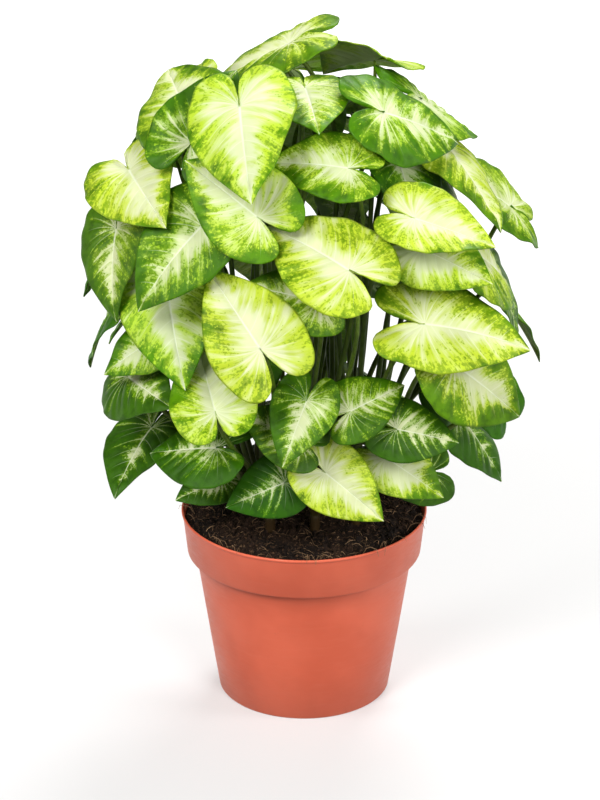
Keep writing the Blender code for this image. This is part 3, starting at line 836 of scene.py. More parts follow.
class Value:
    """A value that varies over a surface, with the arithmetic of plain numbers."""

    def __init__(self, recipe, socket):
        self.recipe = recipe
        self.socket = socket

    def __add__(self, other):
        return self.recipe.math("ADD", self, other)

    def __sub__(self, other):
        return self.recipe.math("SUBTRACT", self, other)

    def __mul__(self, other):
        return self.recipe.math("MULTIPLY", self, other)

    def __pow__(self, other):
        return self.recipe.math("POWER", self, other)

    def __abs__(self):
        return self.recipe.math("ABSOLUTE", self)


class Recipe:
    """A material's node tree, built in short calls from values, numbers and colours."""

    def __init__(self, name):
        self.material = bpy.data.materials.new(name)
        self.material.use_nodes = True
        self.tree = self.material.node_tree

    def put(self, socket, value):
        if isinstance(value, Value):
            self.tree.links.new(value.socket, socket)
        elif socket.type == "RGBA":
            socket.default_value = (*value[:3], 1.0)
        else:
            socket.default_value = value

    def node(self, kind, inputs, output=0, **settings):
        """Adds a node, fills its inputs and gives one of its outputs."""
        node = self.tree.nodes.new("ShaderNode" + kind)
        for key, value in settings.items():
            setattr(node, key, value)
        for place, value in inputs.items():
            self.put(node.inputs[place], value)
        return Value(self, node.outputs[output])

    def math(self, operation, *values):
        return self.node("Math", dict(enumerate(values)), operation=operation)

    def highest(self, first, second):
        return self.math("MAXIMUM", first, second)

    def ramp(self, value, low, high, to_low=0.0, to_high=1.0):
        """Smooth step of the value, from low to high."""
        inputs = {"Value": value, "From Min": low, "From Max": high, "To Min": to_low, "To Max": to_high}
        return self.node("MapRange", inputs, "Result", interpolation_type="SMOOTHSTEP")

    def mix(self, factor, first, second):
        """A colour between two others."""
        return self.node("Mix", {0: factor, 6: first, 7: second}, 2, data_type="RGBA")

    def vector(self, x, y, z):
        return self.node("CombineXYZ", {"X": x, "Y": y, "Z": z})

    def parts(self, vector):
        """The x, y and z of a vector."""
        node = self.node("SeparateXYZ", {0: vector}).socket.node
        return [Value(self, output) for output in node.outputs]

    def off_axis(self, x, y):
        """Distance from the upright axis through the origin."""
        return (x * x + y * y) ** 0.5

    def stretched(self, vector, x, y, z):
        return self.node("Mapping", {"Vector": vector, "Scale": (x, y, z)})

    def grain(self, place, scale, detail=2.0, roughness=0.5):
        inputs = {"Vector": place, "Scale": scale, "Detail": detail, "Roughness": roughness}
        return self.node("TexNoise", inputs, "Fac")

    def cells(self, place, scale):
        return self.node("TexVoronoi", {"Vector": place, "Scale": scale}, "Distance")

    def here(self):
        return self.node("TexCoord", {}, "Object")

    def uv(self, name):
        return self.node("UVMap", {}, "UV", uv_map=name)

    def attribute(self, name):
        return self.node("Attribute", {}, "Fac", attribute_name=name)

    def bump(self, height, distance, strength=1.0, below=None):
        inputs = {"Height": height, "Distance": distance, "Strength": strength}
        if below:
            inputs["Normal"] = below
        return self.node("Bump", inputs, "Normal")

    def finish(self, colour, roughness, normal=None, constants=()):
        """Links the looks to the shader. Constants are set on its own sockets."""
        inputs = {"Base Color": colour, "Roughness": roughness, **dict(constants)}
        if normal:
            inputs["Normal"] = normal
        for name, value in inputs.items():
            self.put(self.tree.nodes["Principled BSDF"].inputs[name], value)
        return self.material


def strength(r, place, marks):
    """How strong the marks are at a place, on either side of zero."""
    return r.grain(place, marks.scale, marks.detail, marks.roughness) - 0.5


def cream_reach(r, paleness, on_vein, blotches, streaks, lopsided, x):
    """How far the cream reaches from the midrib, as a share of the way to the edge."""
    reach = paleness * 1.02 - 0.07
    reach += on_vein * r.ramp(paleness, 0.10, 0.75, 0.62, 0.30)
    reach += lopsided * LOPSIDEDNESS.pull + blotches * BLOTCHES.pull + streaks * STREAKS.pull
    return reach - r.ramp(x, 0.45, 1.0, 0.0, 0.25)


def vein_lines(r, off_vein, gap, share, x, y):
    """The thin lines of the laterals and the broader one of the midrib."""
    lateral = r.ramp(off_vein * gap, 0.0, share * -0.0065 + 0.0105, 1.0, 0.0)
    lateral *= r.ramp(share, 0.90, 0.35)
    rib = r.ramp(abs(y), 0.0, x * -0.014 + 0.0215, 1.0, 0.0)
    return lateral, rib * r.ramp(x, -0.01, 0.02)


def leaf_material(name, looks, under):
    """Cream spreads from the midrib and the veins, and breaks into green streaks and specks."""
    r = Recipe(name)
    row, column, _ = r.parts(r.uv("veins"))
    x, y, _ = r.parts(r.uv("blade"))
    paleness, seed, gap = (r.attribute(key) for key in ("paleness", "leaf_seed", "vein_gap"))
    share = abs(column)
    half = r.math("SIGN", column) * HALF_SHIFT
    flat = r.vector(x, y, seed)
    own_row = row + half
    vein = r.math("ROUND", row)
    off_vein = abs(row - vein)
    near_vein = off_vein * -2.0 + 1.0
    whose = r.vector(vein * 0.61 + half, 0.3, seed)
    on_vein = near_vein**1.6 * r.ramp(r.grain(whose, 1.0, 0.0), 0.34, 0.64, 0.15, 1.0)

    # where the cream and the lime end
    lopsided = strength(r, r.vector(half, 0.2, seed), LOPSIDEDNESS)
    blotches = strength(r, flat, BLOTCHES)
    streaks = strength(r, r.vector(own_row, share * STREAK_LENGTH, seed), STREAKS)
    specks = strength(r, r.vector(own_row * SPECK_ROWS, share * SPECK_SHARES, seed), SPECKS)
    dots = strength(r, flat, DOTS)
    inside = cream_reach(r, paleness, on_vein, blotches, streaks, lopsided, x) - share
    cream = r.ramp(inside + specks * SPECKS.pull + dots * DOTS.pull, -0.04, 0.12)
    lime = r.ramp(inside + dots * 0.9, -0.40, 0.05)

    # the greens, the pale heart and the green edge
    young = r.ramp(paleness, 0.25, 0.80)
    green = r.mix(young, looks.old_green, looks.young_green)
    cloudy = r.ramp(r.grain(flat, 9.0, 3.0, 0.6), 0.40, 0.72)
    green = r.mix(cloudy * 0.60, green, looks.deep_green)
    half_tone = r.mix(young, looks.old_lime, looks.young_lime)
    green = r.mix(lime * 0.50, green, half_tone)
    heart = inside + near_vein * 0.16 + share * -0.85 + streaks * 1.5 + blotches * 1.3
    pale = r.mix(r.ramp(heart, -0.60, 0.72), half_tone, looks.cream)
    colour = r.mix(cream, green, pale)
    colour = r.mix(r.ramp(share, 0.958, 0.992) * 0.80, colour, green)

    # the veins, and the matt film below
    lateral, rib = vein_lines(r, off_vein, gap, share, x, y)
    painted = r.highest(lateral * r.ramp(cream, 0.0, 1.0, 0.30, 0.42), rib * 0.95)
    colour = r.mix(painted, colour, looks.vein)
    if under:
        colour = r.mix(0.45, colour, looks.underside)

    # no two leaves quite alike
    tint = r.grain(r.vector(seed, 0.5, 0.5), 3.3, 0.0)
    hue = r.ramp(tint, 0.25, 0.75, 0.490, 0.510)
    light = r.ramp(r.grain(flat, 3.0, 1.0), 0.3, 0.7, 0.92, 1.04)
    colour = r.node("HueSaturation", {"Hue": hue, "Value": light, "Color": colour})

    normal = r.bump(r.highest(lateral, rib), VEIN_RELIEF, 0.6 if under else -0.6)
    normal = r.bump(r.cells(flat, 70.0), TISSUE_RELIEF, 0.5, normal)
    roughness = 0.62 if under else r.ramp(r.grain(flat, 12.0, 3.0), 0.3, 0.7, 0.40, 0.52)
    gloss = {
        "Specular IOR Level": looks.gloss,
        "Subsurface Weight": looks.translucency,
        "Subsurface Scale": 0.0012,
        "Subsurface Radius": (0.8, 1.0, 0.3),
    }
    return r.finish(colour, roughness, normal, gloss)


def stalk_material(looks):
    """Olive green, streaked lengthwise and flushed brown-red towards the soil."""
    r = Recipe("leaf_stalk")
    here = r.here()
    height = r.parts(here)[2]
    streak = r.grain(r.stretched(here, 900, 900, 40), 1.0, 2.0)
    flush = r.ramp(height, POT_HEIGHT + 0.005, POT_HEIGHT + 0.075, 1.0, 0.12)
    flush *= r.ramp(r.grain(here, 45.0, 2.0), 0.30, 0.62)
    flush = r.highest(flush, r.ramp(height, POT_HEIGHT + 0.004, POT_HEIGHT + 0.020, 0.95, 0.0))
    colour = r.mix(r.ramp(streak, 0.3, 0.7, 0.0, 0.6), looks.stalk_green, looks.stalk_pale)
    colour = r.mix(flush, colour, looks.stalk_red)
    return r.finish(colour, 0.46, r.bump(streak, 0.00012, 0.5), {"Specular IOR Level": 0.3})


def peat_material(looks):
    """Nearly black peat with lighter brown bits, tinted crumb by crumb."""
    r = Recipe("peat")
    here = r.here()
    bits = r.ramp(r.grain(here, 900.0, 3.0, 0.65), 0.52, 0.72)
    damp = r.ramp(r.grain(here, 60.0, 2.0), 0.35, 0.65)
    colour = r.mix(damp, looks.dark, looks.brown)
    colour = r.mix(bits * 0.5, colour, looks.tan)
    colour = r.mix(r.ramp(r.attribute("tint"), 0.45, 1.0), colour, looks.tan)
    normal = r.bump(r.grain(here, 1500.0, 4.0, 0.7), 0.0006, 0.8)
    normal = r.bump(r.cells(here, 500.0), 0.0006, 0.6, normal)
    roughness = r.ramp(damp, 0.0, 1.0, 0.78, 0.97)
    return r.finish(colour, roughness, normal, {"Specular IOR Level": 0.35})


def fibre_material(looks):
    """Dry root, from brown to pale straw, with fine rings."""
    r = Recipe("root_fibre")
    colour = r.mix(r.attribute("tint"), looks.brown, looks.fibre)
    rings = r.grain(r.here(), 2200.0, 2.0)
    colour = r.mix(r.ramp(rings, 0.4, 0.7, 0.0, 0.5), colour, looks.tan)
    return r.finish(colour, 0.75, r.bump(rings, 0.0001, 0.5), {"Specular IOR Level": 0.3})


def plastic_material(looks):
    """Terracotta-coloured plastic with clouds, flow marks, fine scuffs and peat dust."""
    r = Recipe("terracotta_plastic")
    here = r.here()
    x, y, z = r.parts(here)
    clouds = r.ramp(r.grain(here, 26.0, 3.0), 0.35, 0.68)
    colour = r.mix(clouds, looks.plastic, looks.plastic_deep)
    flow = r.grain(r.vector(r.math("ARCTAN2", y, x) * 3.0, z * 420.0, 0.0), 1.0, 2.0)
    colour = r.mix(r.ramp(flow, 0.50, 0.80, 0.0, 0.10), colour, looks.plastic_pale)
    dust = r.ramp(r.grain(here, 330.0, 4.0, 0.7), 0.62, 0.76)
    low = r.ramp(z, 0.0, 0.009, 0.35, 0.0)
    high = r.ramp(z, POT_HEIGHT - 0.004, POT_HEIGHT, 0.0, 0.5)
    inner = r.ramp(r.off_axis(x, y), INNER_COLLAR[0], INNER_COLLAR[0] + 0.0008, 1.0, 0.0)
    inner *= r.ramp(z, COLLAR_FOOT + 0.001, COLLAR_FOOT + 0.002, 0.06, 1.0)
    colour = r.mix(dust * r.highest(r.highest(low, high), inner), colour, looks.dust)
    scuffs = r.grain(r.stretched(here, 160, 160, 1400), 1.0, 3.0, 0.7)
    normal = r.bump(r.grain(here, 1700.0, 2.0), 0.00003, 0.35)
    normal = r.bump(flow, 0.00005, 0.2, normal)
    skin = {"Subsurface Weight": 0.06, "Subsurface Scale": 0.0015}
    return r.finish(colour, r.ramp(scuffs, 0.3, 0.75, 0.34, 0.50), normal, skin)


def floor_material(looks):
    """Pale paint with a light of its own, which grows to white away from the plant."""
    r = Recipe("floor_paint")
    x, y, _ = r.parts(r.here())
    glow = r.ramp(r.off_axis(x, y), FLOOR_NEAR, FLOOR_FAR, looks.floor_glow, 1.0)
    light = {"Emission Color": looks.floor_light, "Emission Strength": glow}
    return r.finish(looks.floor, 0.8, None, light)


def fine_angle(row, form):
    """A row's angle from the tip: evenly spread between laterals, and closer at the notch."""
    gap, step = int(row // ROWS_PER_GAP), row % ROWS_PER_GAP
    if gap >= len(LATERALS):
        return form.sinus
    low = math.radians(LATERALS[gap])
    share = step / ROWS_PER_GAP
    if gap == len(LATERALS) - 1:
        return low + (form.sinus - low) * (1 - (1 - share) ** 2)
    return low + (math.radians(LATERALS[gap + 1]) - low) * share


def vein_gap(form, row, share):
    """Distance between neighbouring laterals at a place, in blade lengths."""
    low, high = max(0.0, row - 1), min(ROWS, row + 1)
    first = Vector(blade_point(form, fine_angle(low, form), share))
    last = Vector(blade_point(form, fine_angle(high, form), share))
    return (last - first).length * ROWS_PER_GAP / (high - low)


def fine_lift(form, x, y, angle, share, side, row, gap, quilting):
    """The blade's height: its waves calmed at the tip, pillowed between the veins, and uneven."""
    lift = blade_height(form, x, y, angle, share, side)
    calm = math.exp(-((angle / TIP_CALM) ** 2))
    lift -= calm * form.wave * math.sin(WAVES * angle + form.phase * side) * share**2
    between = math.sin(math.pi * (row % ROWS_PER_GAP) / ROWS_PER_GAP) ** 2
    lift += quilting * gap * between * math.sin(math.pi * share)
    lift += UNEVEN_DEPTH * share * noise.noise(Vector((x, side * y, form.phase)) * UNEVEN_SCALE)
    lift += RIPPLE_DEPTH * (1 - calm) * math.sin(RIPPLES * angle + 2 * form.phase * side) * share**4
    return lift - (GROOVE_SHARE * quilting if share == 0 else 0.0)


def set_attribute(mesh, name, values):
    attribute = mesh.attributes.new(name, "FLOAT", "POINT")
    attribute.data.foreach_set("value", values)


def put_leaf_materials(obj, slot):
    """Gives an object the materials of a leafy stem, and all its faces the one in this slot."""
    obj.data.materials.clear()
    for name in LEAF_MATERIALS:
        obj.data.materials.append(bpy.data.materials[name])
    for polygon in obj.data.polygons:
        polygon.material_index = slot


def add_blade(leaf, paleness, seed, looks):
    """A grid laid out as the blade: its rows run along the veins, from the tip to the notch."""
    deselect_all()
    bpy.ops.mesh.primitive_grid_add(x_subdivisions=ROWS, y_subdivisions=2 * COLUMNS, size=2)
    obj = bpy.context.object
    mesh = obj.data
    place = leaf_matrix(leaf)
    veins, flats, gaps = [], [], []
    for vertex in mesh.vertices:
        row = round((1 - vertex.co.x) / 2 * ROWS)
        column = round(vertex.co.y * COLUMNS)
        share, side = EDGE_SHARES[abs(column)], -1 if column < 0 else 1
        angle = fine_angle(row, leaf.form)
        x, y = blade_point(leaf.form, angle, share)
        gap = vein_gap(leaf.form, row, share)
        lift = fine_lift(leaf.form, x, y, angle, share, side, row, gap, looks.quilting)
        vertex.co = place @ (Vector((x, side * y, lift)) * leaf.length)
        veins.append((row / ROWS_PER_GAP, side * share))
        flats.append((x, side * y))
        gaps.append(gap)
    for name, points in (("veins", veins), ("blade", flats)):
        layer = mesh.uv_layers.new(name=name)
        layer.data.foreach_set("uv", [c for loop in mesh.loops for c in points[loop.vertex_index]])
    mesh.uv_layers.remove(mesh.uv_layers[0])
    set_attribute(mesh, "vein_gap", gaps)
    set_attribute(mesh, "paleness", [paleness] * len(mesh.vertices))
    set_attribute(mesh, "leaf_seed", [float(seed)] * len(mesh.vertices))
    bpy.ops.object.mode_set(mode="EDIT")
    bpy.ops.mesh.select_all(action="SELECT")
    bpy.ops.mesh.remove_doubles(threshold=1e-6)
    bpy.ops.object.mode_set(mode="OBJECT")
    put_leaf_materials(obj, UPPER_SLOT)
    apply_modifier(obj, "SOLIDIFY", thickness=looks.thickness, offset=0.0, material_offset=1)
    bpy.ops.object.shade_smooth()
    return obj


def add_stalk(leaf, path_ends):
    """A Bezier curve with a round profile that thins upwards, and ends just under the blade."""
    start, first, second, end = path_ends
    down = leaf_matrix(leaf).to_3x3() @ Vector((0, 0, -STALK_TOP_GAP))
    end, second = end + down, second + down
    deselect_all()
    bpy.ops.curve.primitive_bezier_curve_add()
    obj = bpy.context.object
    curve = obj.data
    curve.dimensions = "3D"
    curve.bevel_depth = 1.0
    curve.bevel_resolution = STALK_ROUNDNESS
    curve.resolution_u = STALK_RESOLUTION
    curve.use_fill_caps = True
    low, high = curve.splines[0].bezier_points
    for point in (low, high):
        point.handle_left_type = point.handle_right_type = "FREE"
    low.co, low.handle_right, low.handle_left = start, first, start + (start - first)
    high.co, high.handle_left, high.handle_right = end, second, end + (end - second)
    low.radius, high.radius = STALK_FOOT_RADIUS, STALK_TOP_RADIUS
    bpy.ops.object.convert(target="MESH")
    obj = bpy.context.object
    for vertex in obj.data.vertices:
        if (vertex.co - end).length < 1.5 * STALK_TOP_RADIUS:
            vertex.co = end + (vertex.co - end) * STALK_END_SHARE
    put_leaf_materials(obj, STALK_SLOT)
    bpy.ops.object.shade_smooth()
    return obj


def add_stem(foot, height):
    """The short stem that the stalks leave, thickened at its leaf rings."""
    profile = [(0, -STEM_DEPTH), (STEM_RADIUS, -STEM_DEPTH)]
    for i in range(STEM_SWELLS):
        swell = 1.0 if i % 2 else STEM_WAIST
        share = i / (STEM_SWELLS - 1)
        profile.append((STEM_RADIUS * swell, share * STEM_SHOULDER_SHARE * height))
    profile += [(STEM_TOP_SHARE * STEM_RADIUS, height), (0, height + STEM_RADIUS / 2)]
    obj = turn_on_lathe("stem", profile, STEM_SEGMENTS)
    obj.data.transform(Matrix.Translation(foot))
    put_leaf_materials(obj, STALK_SLOT)
    bpy.ops.object.shade_smooth()
    return obj


def fine_pot_profile():
    """The pot's section: foot ring, tapered body, stepped collar, beaded lip, and the inside."""
    body = [(BODY_FOOT_RADIUS, 0), (BODY_TOP_RADIUS, COLLAR_FOOT)]
    bead = POT_HEIGHT - BEAD_DROP
    bead_radius = straight_at(bead, (COLLAR_FOOT_RADIUS, COLLAR_FOOT), (RIM_RADIUS, POT_HEIGHT))
    outside = [
        (BODY_FOOT_RADIUS - FOOT_ROUND[0], 0),
        (BODY_FOOT_RADIUS, FOOT_ROUND[1]),
        *[(straight_at(height, *body), height) for height in BODY_RINGS],
        (BODY_TOP_RADIUS, COLLAR_FOOT),
        (COLLAR_FOOT_RADIUS - COLLAR_ROUND[0], COLLAR_FOOT),
        (COLLAR_FOOT_RADIUS, COLLAR_FOOT + COLLAR_ROUND[1]),
        (bead_radius - BEAD_DEPTH, bead + BEAD_RISE[0]),
        (bead_radius, bead + BEAD_RISE[1]),
        (RIM_RADIUS, POT_HEIGHT - RIM_ROUND[1]),
        (RIM_RADIUS - RIM_ROUND[0], POT_HEIGHT),
        (INNER_RIM[0] + INNER_RIM_ROUND[0], POT_HEIGHT),
        (INNER_RIM[0], POT_HEIGHT - INNER_RIM_ROUND[1]),
    ]
    return foot_profile() + outside + inside_profile()


def cut_drains(pot):
    """Cuts the drain holes through the floor, with one round cutter for each."""
    cutters = []
    for middle in ring_points(DRAIN_CIRCLE_RADIUS, 0, 2 * DRAIN_COUNT)[1::2]:
        deselect_all()
        bpy.ops.mesh.primitive_cylinder_add(
            vertices=DRAIN_SEGMENTS, radius=DRAIN_RADIUS, depth=4 * FLOOR_TOP, location=middle
        )
        cutters.append(bpy.context.object)
    cutter = join_pieces(cutters)
    apply_modifier(pot, "BOOLEAN", operation="DIFFERENCE", object=cutter, solver="EXACT")
    bpy.data.objects.remove(cutter)


def clod_height(x, y):
    """The soil's surface with its small clods, which flatten towards the pot's wall."""
    reach = min(1.0, math.hypot(x, y) / INNER_RIM[0])
    height = soil_height(x, y)
    for scale, depth in CLOD_RELIEFS:
        lift = noise.noise(Vector((x, y, CLOD_LAYER)) * scale)
        height += depth * lift * (1 - reach**CLOD_CALM_EDGE)
    return height


def on_soil(reach, angle, lift=0.0):
    """A point of the soil's surface, or a lift above it."""
    x, y = reach * math.cos(angle), reach * math.sin(angle)
    return Vector((x, y, clod_height(x, y) + lift))


def add_soil():
    """The plug of peat, its top uneven ring after ring."""
    soil = turn_on_lathe("soil_surface", soil_profile(SOIL_SURFACE_RINGS), LATHE_SEGMENTS)
    for vertex in soil.data.vertices:
        if vertex.co.z > SOIL_EDGE - SOIL_GAP:
            vertex.co.z = clod_height(vertex.co.x, vertex.co.y)
    set_attribute(soil.data, "tint", [0.0] * len(soil.data.vertices))
    return soil


def crumb_shapes():
    """A few uneven lumps, each a ball pushed out of round: (points, faces) about the origin."""
    shapes = []
    for i in range(CRUMB_SHAPES):
        deselect_all()
        bpy.ops.mesh.primitive_ico_sphere_add(subdivisions=1 if i % 3 else 2, radius=1.0)
        ball = bpy.context.object
        bpy.ops.object.mode_set(mode="EDIT")
        bpy.ops.mesh.select_all(action="SELECT")
        bpy.ops.transform.vertex_random(offset=CRUMB_ROUGHNESS, seed=i)
        bpy.ops.object.mode_set(mode="OBJECT")
        points = [v.co.copy() for v in ball.data.vertices]
        shapes.append((points, [tuple(p.vertices) for p in ball.data.polygons]))
        bpy.data.objects.remove(ball)
    return shapes


def mesh_piece(name, solids, tints):
    """One mesh from many small solids, each with its own tint."""
    vertices, faces, values = [], [], []
    for (points, sides), tint in zip(solids, tints):
        offset = len(vertices)
        vertices += points
        faces += [tuple(i + offset for i in side) for side in sides]
        values += [tint] * len(points)
    mesh = bpy.data.meshes.new(name)
    mesh.from_pydata(vertices, [], faces)
    obj = bpy.data.objects.new(name, mesh)
    bpy.context.scene.collection.objects.link(obj)
    set_attribute(mesh, "tint", values)
    return obj


def random_turn(rng):
    axis = Vector((rng.gauss(0, 1), rng.gauss(0, 1), rng.gauss(0, 1)))
    return Quaternion(axis.normalized(), rng.uniform(0, 2 * math.pi)).to_matrix()


def scattered_crumbs(rng, count):
    """Crumbs of peat strewn over the surface, many small and a few large, half sunk in it."""
    shapes, solids, tints = crumb_shapes(), [], []
    for _ in range(count):
        size = min(CRUMB_LARGEST, CRUMB_SMALLEST * math.exp(rng.expovariate(1 / CRUMB_SPREAD)))
        reach = (SOIL_TOP_RADIUS - size) * math.sqrt(rng.random())
        angle = rng.uniform(0, 2 * math.pi)
        place = on_soil(reach, angle, rng.uniform(*CRUMB_SINK) * size)
        turn = random_turn(rng)
        chip = rng.uniform(*CHIP_LENGTHS) if rng.random() < CHIP_SHARE else 1.0
        x, y, z = [size * rng.uniform(*CRUMB_WIDTHS) * k for k in (chip, 1 / chip, 1 / chip)]
        points, faces = shapes[rng.randrange(len(shapes))]
        lump = [turn @ Vector((p.x * x, p.y * y, p.z * z)) + place for p in points]
        solids.append((lump, faces))
        darker = 1 - LARGE_CRUMB_DARKNESS * size / CRUMB_LARGEST
        tints.append(rng.random() ** CRUMB_DARKNESS * darker)
    return solids, tints


def wandering_path(rng, start, heading, length, lift):
    """A fibre's points: it wanders sideways and bows up from the surface."""
    points, place, turn = [], Vector(start), heading
    for i in range(FIBRE_POINTS):
        share = i / (FIBRE_POINTS - 1)
        points.append(place + Vector((0, 0, lift * math.sin(math.pi * share))))
        turn += rng.uniform(-FIBRE_WANDER, FIBRE_WANDER)
        place = place + Vector((math.cos(turn), math.sin(turn), 0)) * length / FIBRE_POINTS
        place.z = clod_height(place.x, place.y)
    return points


def scattered_fibres(rng, count):
    """Roots and coarse fibres over the soil."""
    solids, tints = [], []
    shares = [i / (FIBRE_POINTS - 1) for i in range(FIBRE_POINTS)]
    taper = [1 - FIBRE_TAPER * abs(2 * share - 1) ** 2 for share in shares]
    for _ in range(count):
        reach = (SOIL_TOP_RADIUS - 0.003) * math.sqrt(rng.random())
        angle, heading = rng.uniform(0, 2 * math.pi), rng.uniform(0, 2 * math.pi)
        length, lift = rng.uniform(*FIBRE_LENGTHS), rng.uniform(*FIBRE_LIFTS)
        points = wandering_path(rng, on_soil(reach, angle), heading, length, lift)
        if all(p.xy.length < SOIL_TOP_RADIUS - 0.0005 for p in points):
            size = rng.uniform(*FIBRE_RADII)
            solids.append(tube_solid(points, [size * k for k in taper], FIBRE_SIDES))
            tints.append(rng.random())
    return solids, tints


def rim_fibres(rng, count):
    """Fibres that stick up at the pot's wall, and some that hang over its lip."""
    solids, tints = [], []
    for _ in range(count):
        angle = rng.uniform(0, 2 * math.pi)
        over = rng.random() < OVER_LIP_SHARE
        out = Vector((math.cos(angle), math.sin(angle), 0))
        along = Vector((-out.y, out.x, 0)) * rng.uniform(-RIM_FIBRE_DRIFT, RIM_FIBRE_DRIFT)
        start = out * (SOIL_TOP_RADIUS - 0.004)
        start.z = clod_height(start.x, start.y)
        crest = out * (INNER_RIM[0] - 0.0012) + along * 0.5
        crest.z = POT_HEIGHT + rng.uniform(0.0008, 0.0025)
        reach = RIM_RADIUS + rng.uniform(0.0008, 0.0024) if over else INNER_RIM[0] - 0.0008
        end = out * reach + along
        end.z = POT_HEIGHT + (rng.uniform(-0.003, 0.001) if over else rng.uniform(0.001, 0.004))
        middle = out * (RIM_RADIUS + 0.0006 if over else reach) + along * 0.8
        middle.z = POT_HEIGHT + 0.0010
        points = [start, start.lerp(crest, 0.5) + Vector((0, 0, 0.0015)), crest, middle, end]
        size = rng.uniform(*FIBRE_RADII)
        solids.append(tube_solid(points, [size * k for k in RIM_FIBRE_TAPER], FIBRE_SIDES))
        tints.append(rng.uniform(0.4, 1.0))
    return solids, tints


def studio_world(looks):
    """A white backdrop that gives a dimmer, slightly warm light of its own."""
    world = bpy.data.worlds.new("studio")
    world.use_nodes = True
    tree = world.node_tree
    light = tree.nodes["Background"]
    light.inputs["Color"].default_value = (*looks.sky_colour, 1.0)
    light.inputs["Strength"].default_value = looks.sky
    backdrop = tree.nodes.new("ShaderNodeBackground")
    backdrop.inputs["Color"].default_value = (1.0, 1.0, 1.0, 1.0)
    mix = tree.nodes.new("ShaderNodeMixShader")
    seen = tree.nodes.new("ShaderNodeLightPath").outputs["Is Camera Ray"]
    tree.links.new(seen, mix.inputs["Fac"])
    tree.links.new(light.outputs[0], mix.inputs[1])
    tree.links.new(backdrop.outputs[0], mix.inputs[2])
    tree.links.new(mix.outputs[0], tree.nodes["World Output"].inputs["Surface"])
    return world


def add_aimed(name, data, place, target):
    """Puts a light or camera at its place, turned to its target."""
    obj = bpy.data.objects.new(name, data)
    obj.location = place
    obj.rotation_euler = (Vector(target) - Vector(place)).to_track_quat("-Z", "Y").to_euler()
    bpy.context.scene.collection.objects.link(obj)
    return obj


def add_softbox(softbox, power):
    name = softbox.setting + "_softbox"
    light = bpy.data.lights.new(name, "AREA")
    light.shape = "DISK"
    light.size = softbox.width
    light.energy = power
    add_aimed(name, light, softbox.place, (0, 0, softbox.aim))


def add_camera(looks):
    camera = bpy.data.cameras.new("camera")
    camera.lens = looks.lens
    camera.sensor_width = SENSOR_WIDTH
    camera.clip_start, camera.clip_end = CLIP_RANGE
    bpy.context.scene.camera = add_aimed("camera", camera, looks.camera_place, looks.camera_target)


def tone(name, description, default):
    return bpy.props.FloatVectorProperty(
        name=name, description=description, default=default, subtype="COLOR", size=3, min=0.0, max=1.0
    )


def amount(name, description, default, unit="NONE"):
    return bpy.props.FloatProperty(
        name=name, description=description, default=default, unit=unit, precision=5, min=0.0
    )


def tally(name, description, default):
    return bpy.props.IntProperty(name=name, description=description, default=default, min=0)


def spot(name, description, default):
    return bpy.props.FloatVectorProperty(
        name=name, description=description, default=default, unit="LENGTH"
    )


class PotLooks(bpy.types.PropertyGroup):
    """Colours of the pot's plastic."""

    plastic: tone("Plastic", "Main colour of the moulded plastic", (0.80, 0.180, 0.096))
    plastic_deep: tone("Plastic, deep", "Its deeper clouds", (0.71, 0.145, 0.072))
    plastic_pale: tone("Plastic, pale", "Faint flow marks", (0.80, 0.25, 0.16))
    dust: tone("Dust", "Dry peat dust on the plastic", (0.13, 0.06, 0.03))


class SoilLooks(bpy.types.PropertyGroup):
    """Colours of the peat, and how much lies loose on it."""

    dark: tone("Wet peat", "Darkest peat", (0.010, 0.0052, 0.0034))
    brown: tone("Dry peat", "Lighter peat", (0.040, 0.021, 0.012))
    tan: tone("Bits", "Bark bits and dry crumbs", (0.27, 0.15, 0.080))
    fibre: tone("Fibre", "Palest root fibres", (0.46, 0.30, 0.17))
    crumbs: tally("Crumbs", "Loose crumbs on the soil", 4200)
    fibres: tally("Fibres", "Loose fibres on the soil", 620)
    rim_fibres: tally("Rim fibres", "Fibres at the lip", 56)


class LeafLooks(bpy.types.PropertyGroup):
    """Colours and form of the blades and stalks."""

    cream: tone("Cream", "Palest part of a blade", (0.68, 0.745, 0.45))
    young_lime: tone("Lime, young", "Between cream and green", (0.49, 0.65, 0.045))
    old_lime: tone("Lime, old", "Between cream and dark green", (0.22, 0.42, 0.012))
    young_green: tone("Green, young", "Margin of a pale leaf", (0.118, 0.285, 0.001))
    old_green: tone("Green, old", "Margin of a dark leaf", (0.043, 0.148, 0.002))
    deep_green: tone("Green, deep", "Clouds in the green", (0.018, 0.074, 0.001))
    vein: tone("Veins", "Midrib and laterals", (0.80, 0.86, 0.65))
    underside: tone("Underside", "Matt film under a blade", (0.20, 0.34, 0.040))
    stalk_green: tone("Stalk", "Leaf stalks", (0.080, 0.150, 0.008))
    stalk_pale: tone("Stalk, pale", "Streaks on the stalks", (0.20, 0.30, 0.030))
    stalk_red: tone("Stalk, flushed", "Stalks near the soil", (0.070, 0.034, 0.014))
    thickness: amount("Thickness", "Thickness of a blade", 0.00045, "LENGTH")
    quilting: amount("Quilting", "Pillowing between veins, as a share of their distance", 0.11)
    gloss: amount("Gloss", "Strength of a blade's sheen", 0.20)
    translucency: amount("Translucency", "Share of light that spreads inside a blade", 0.10)


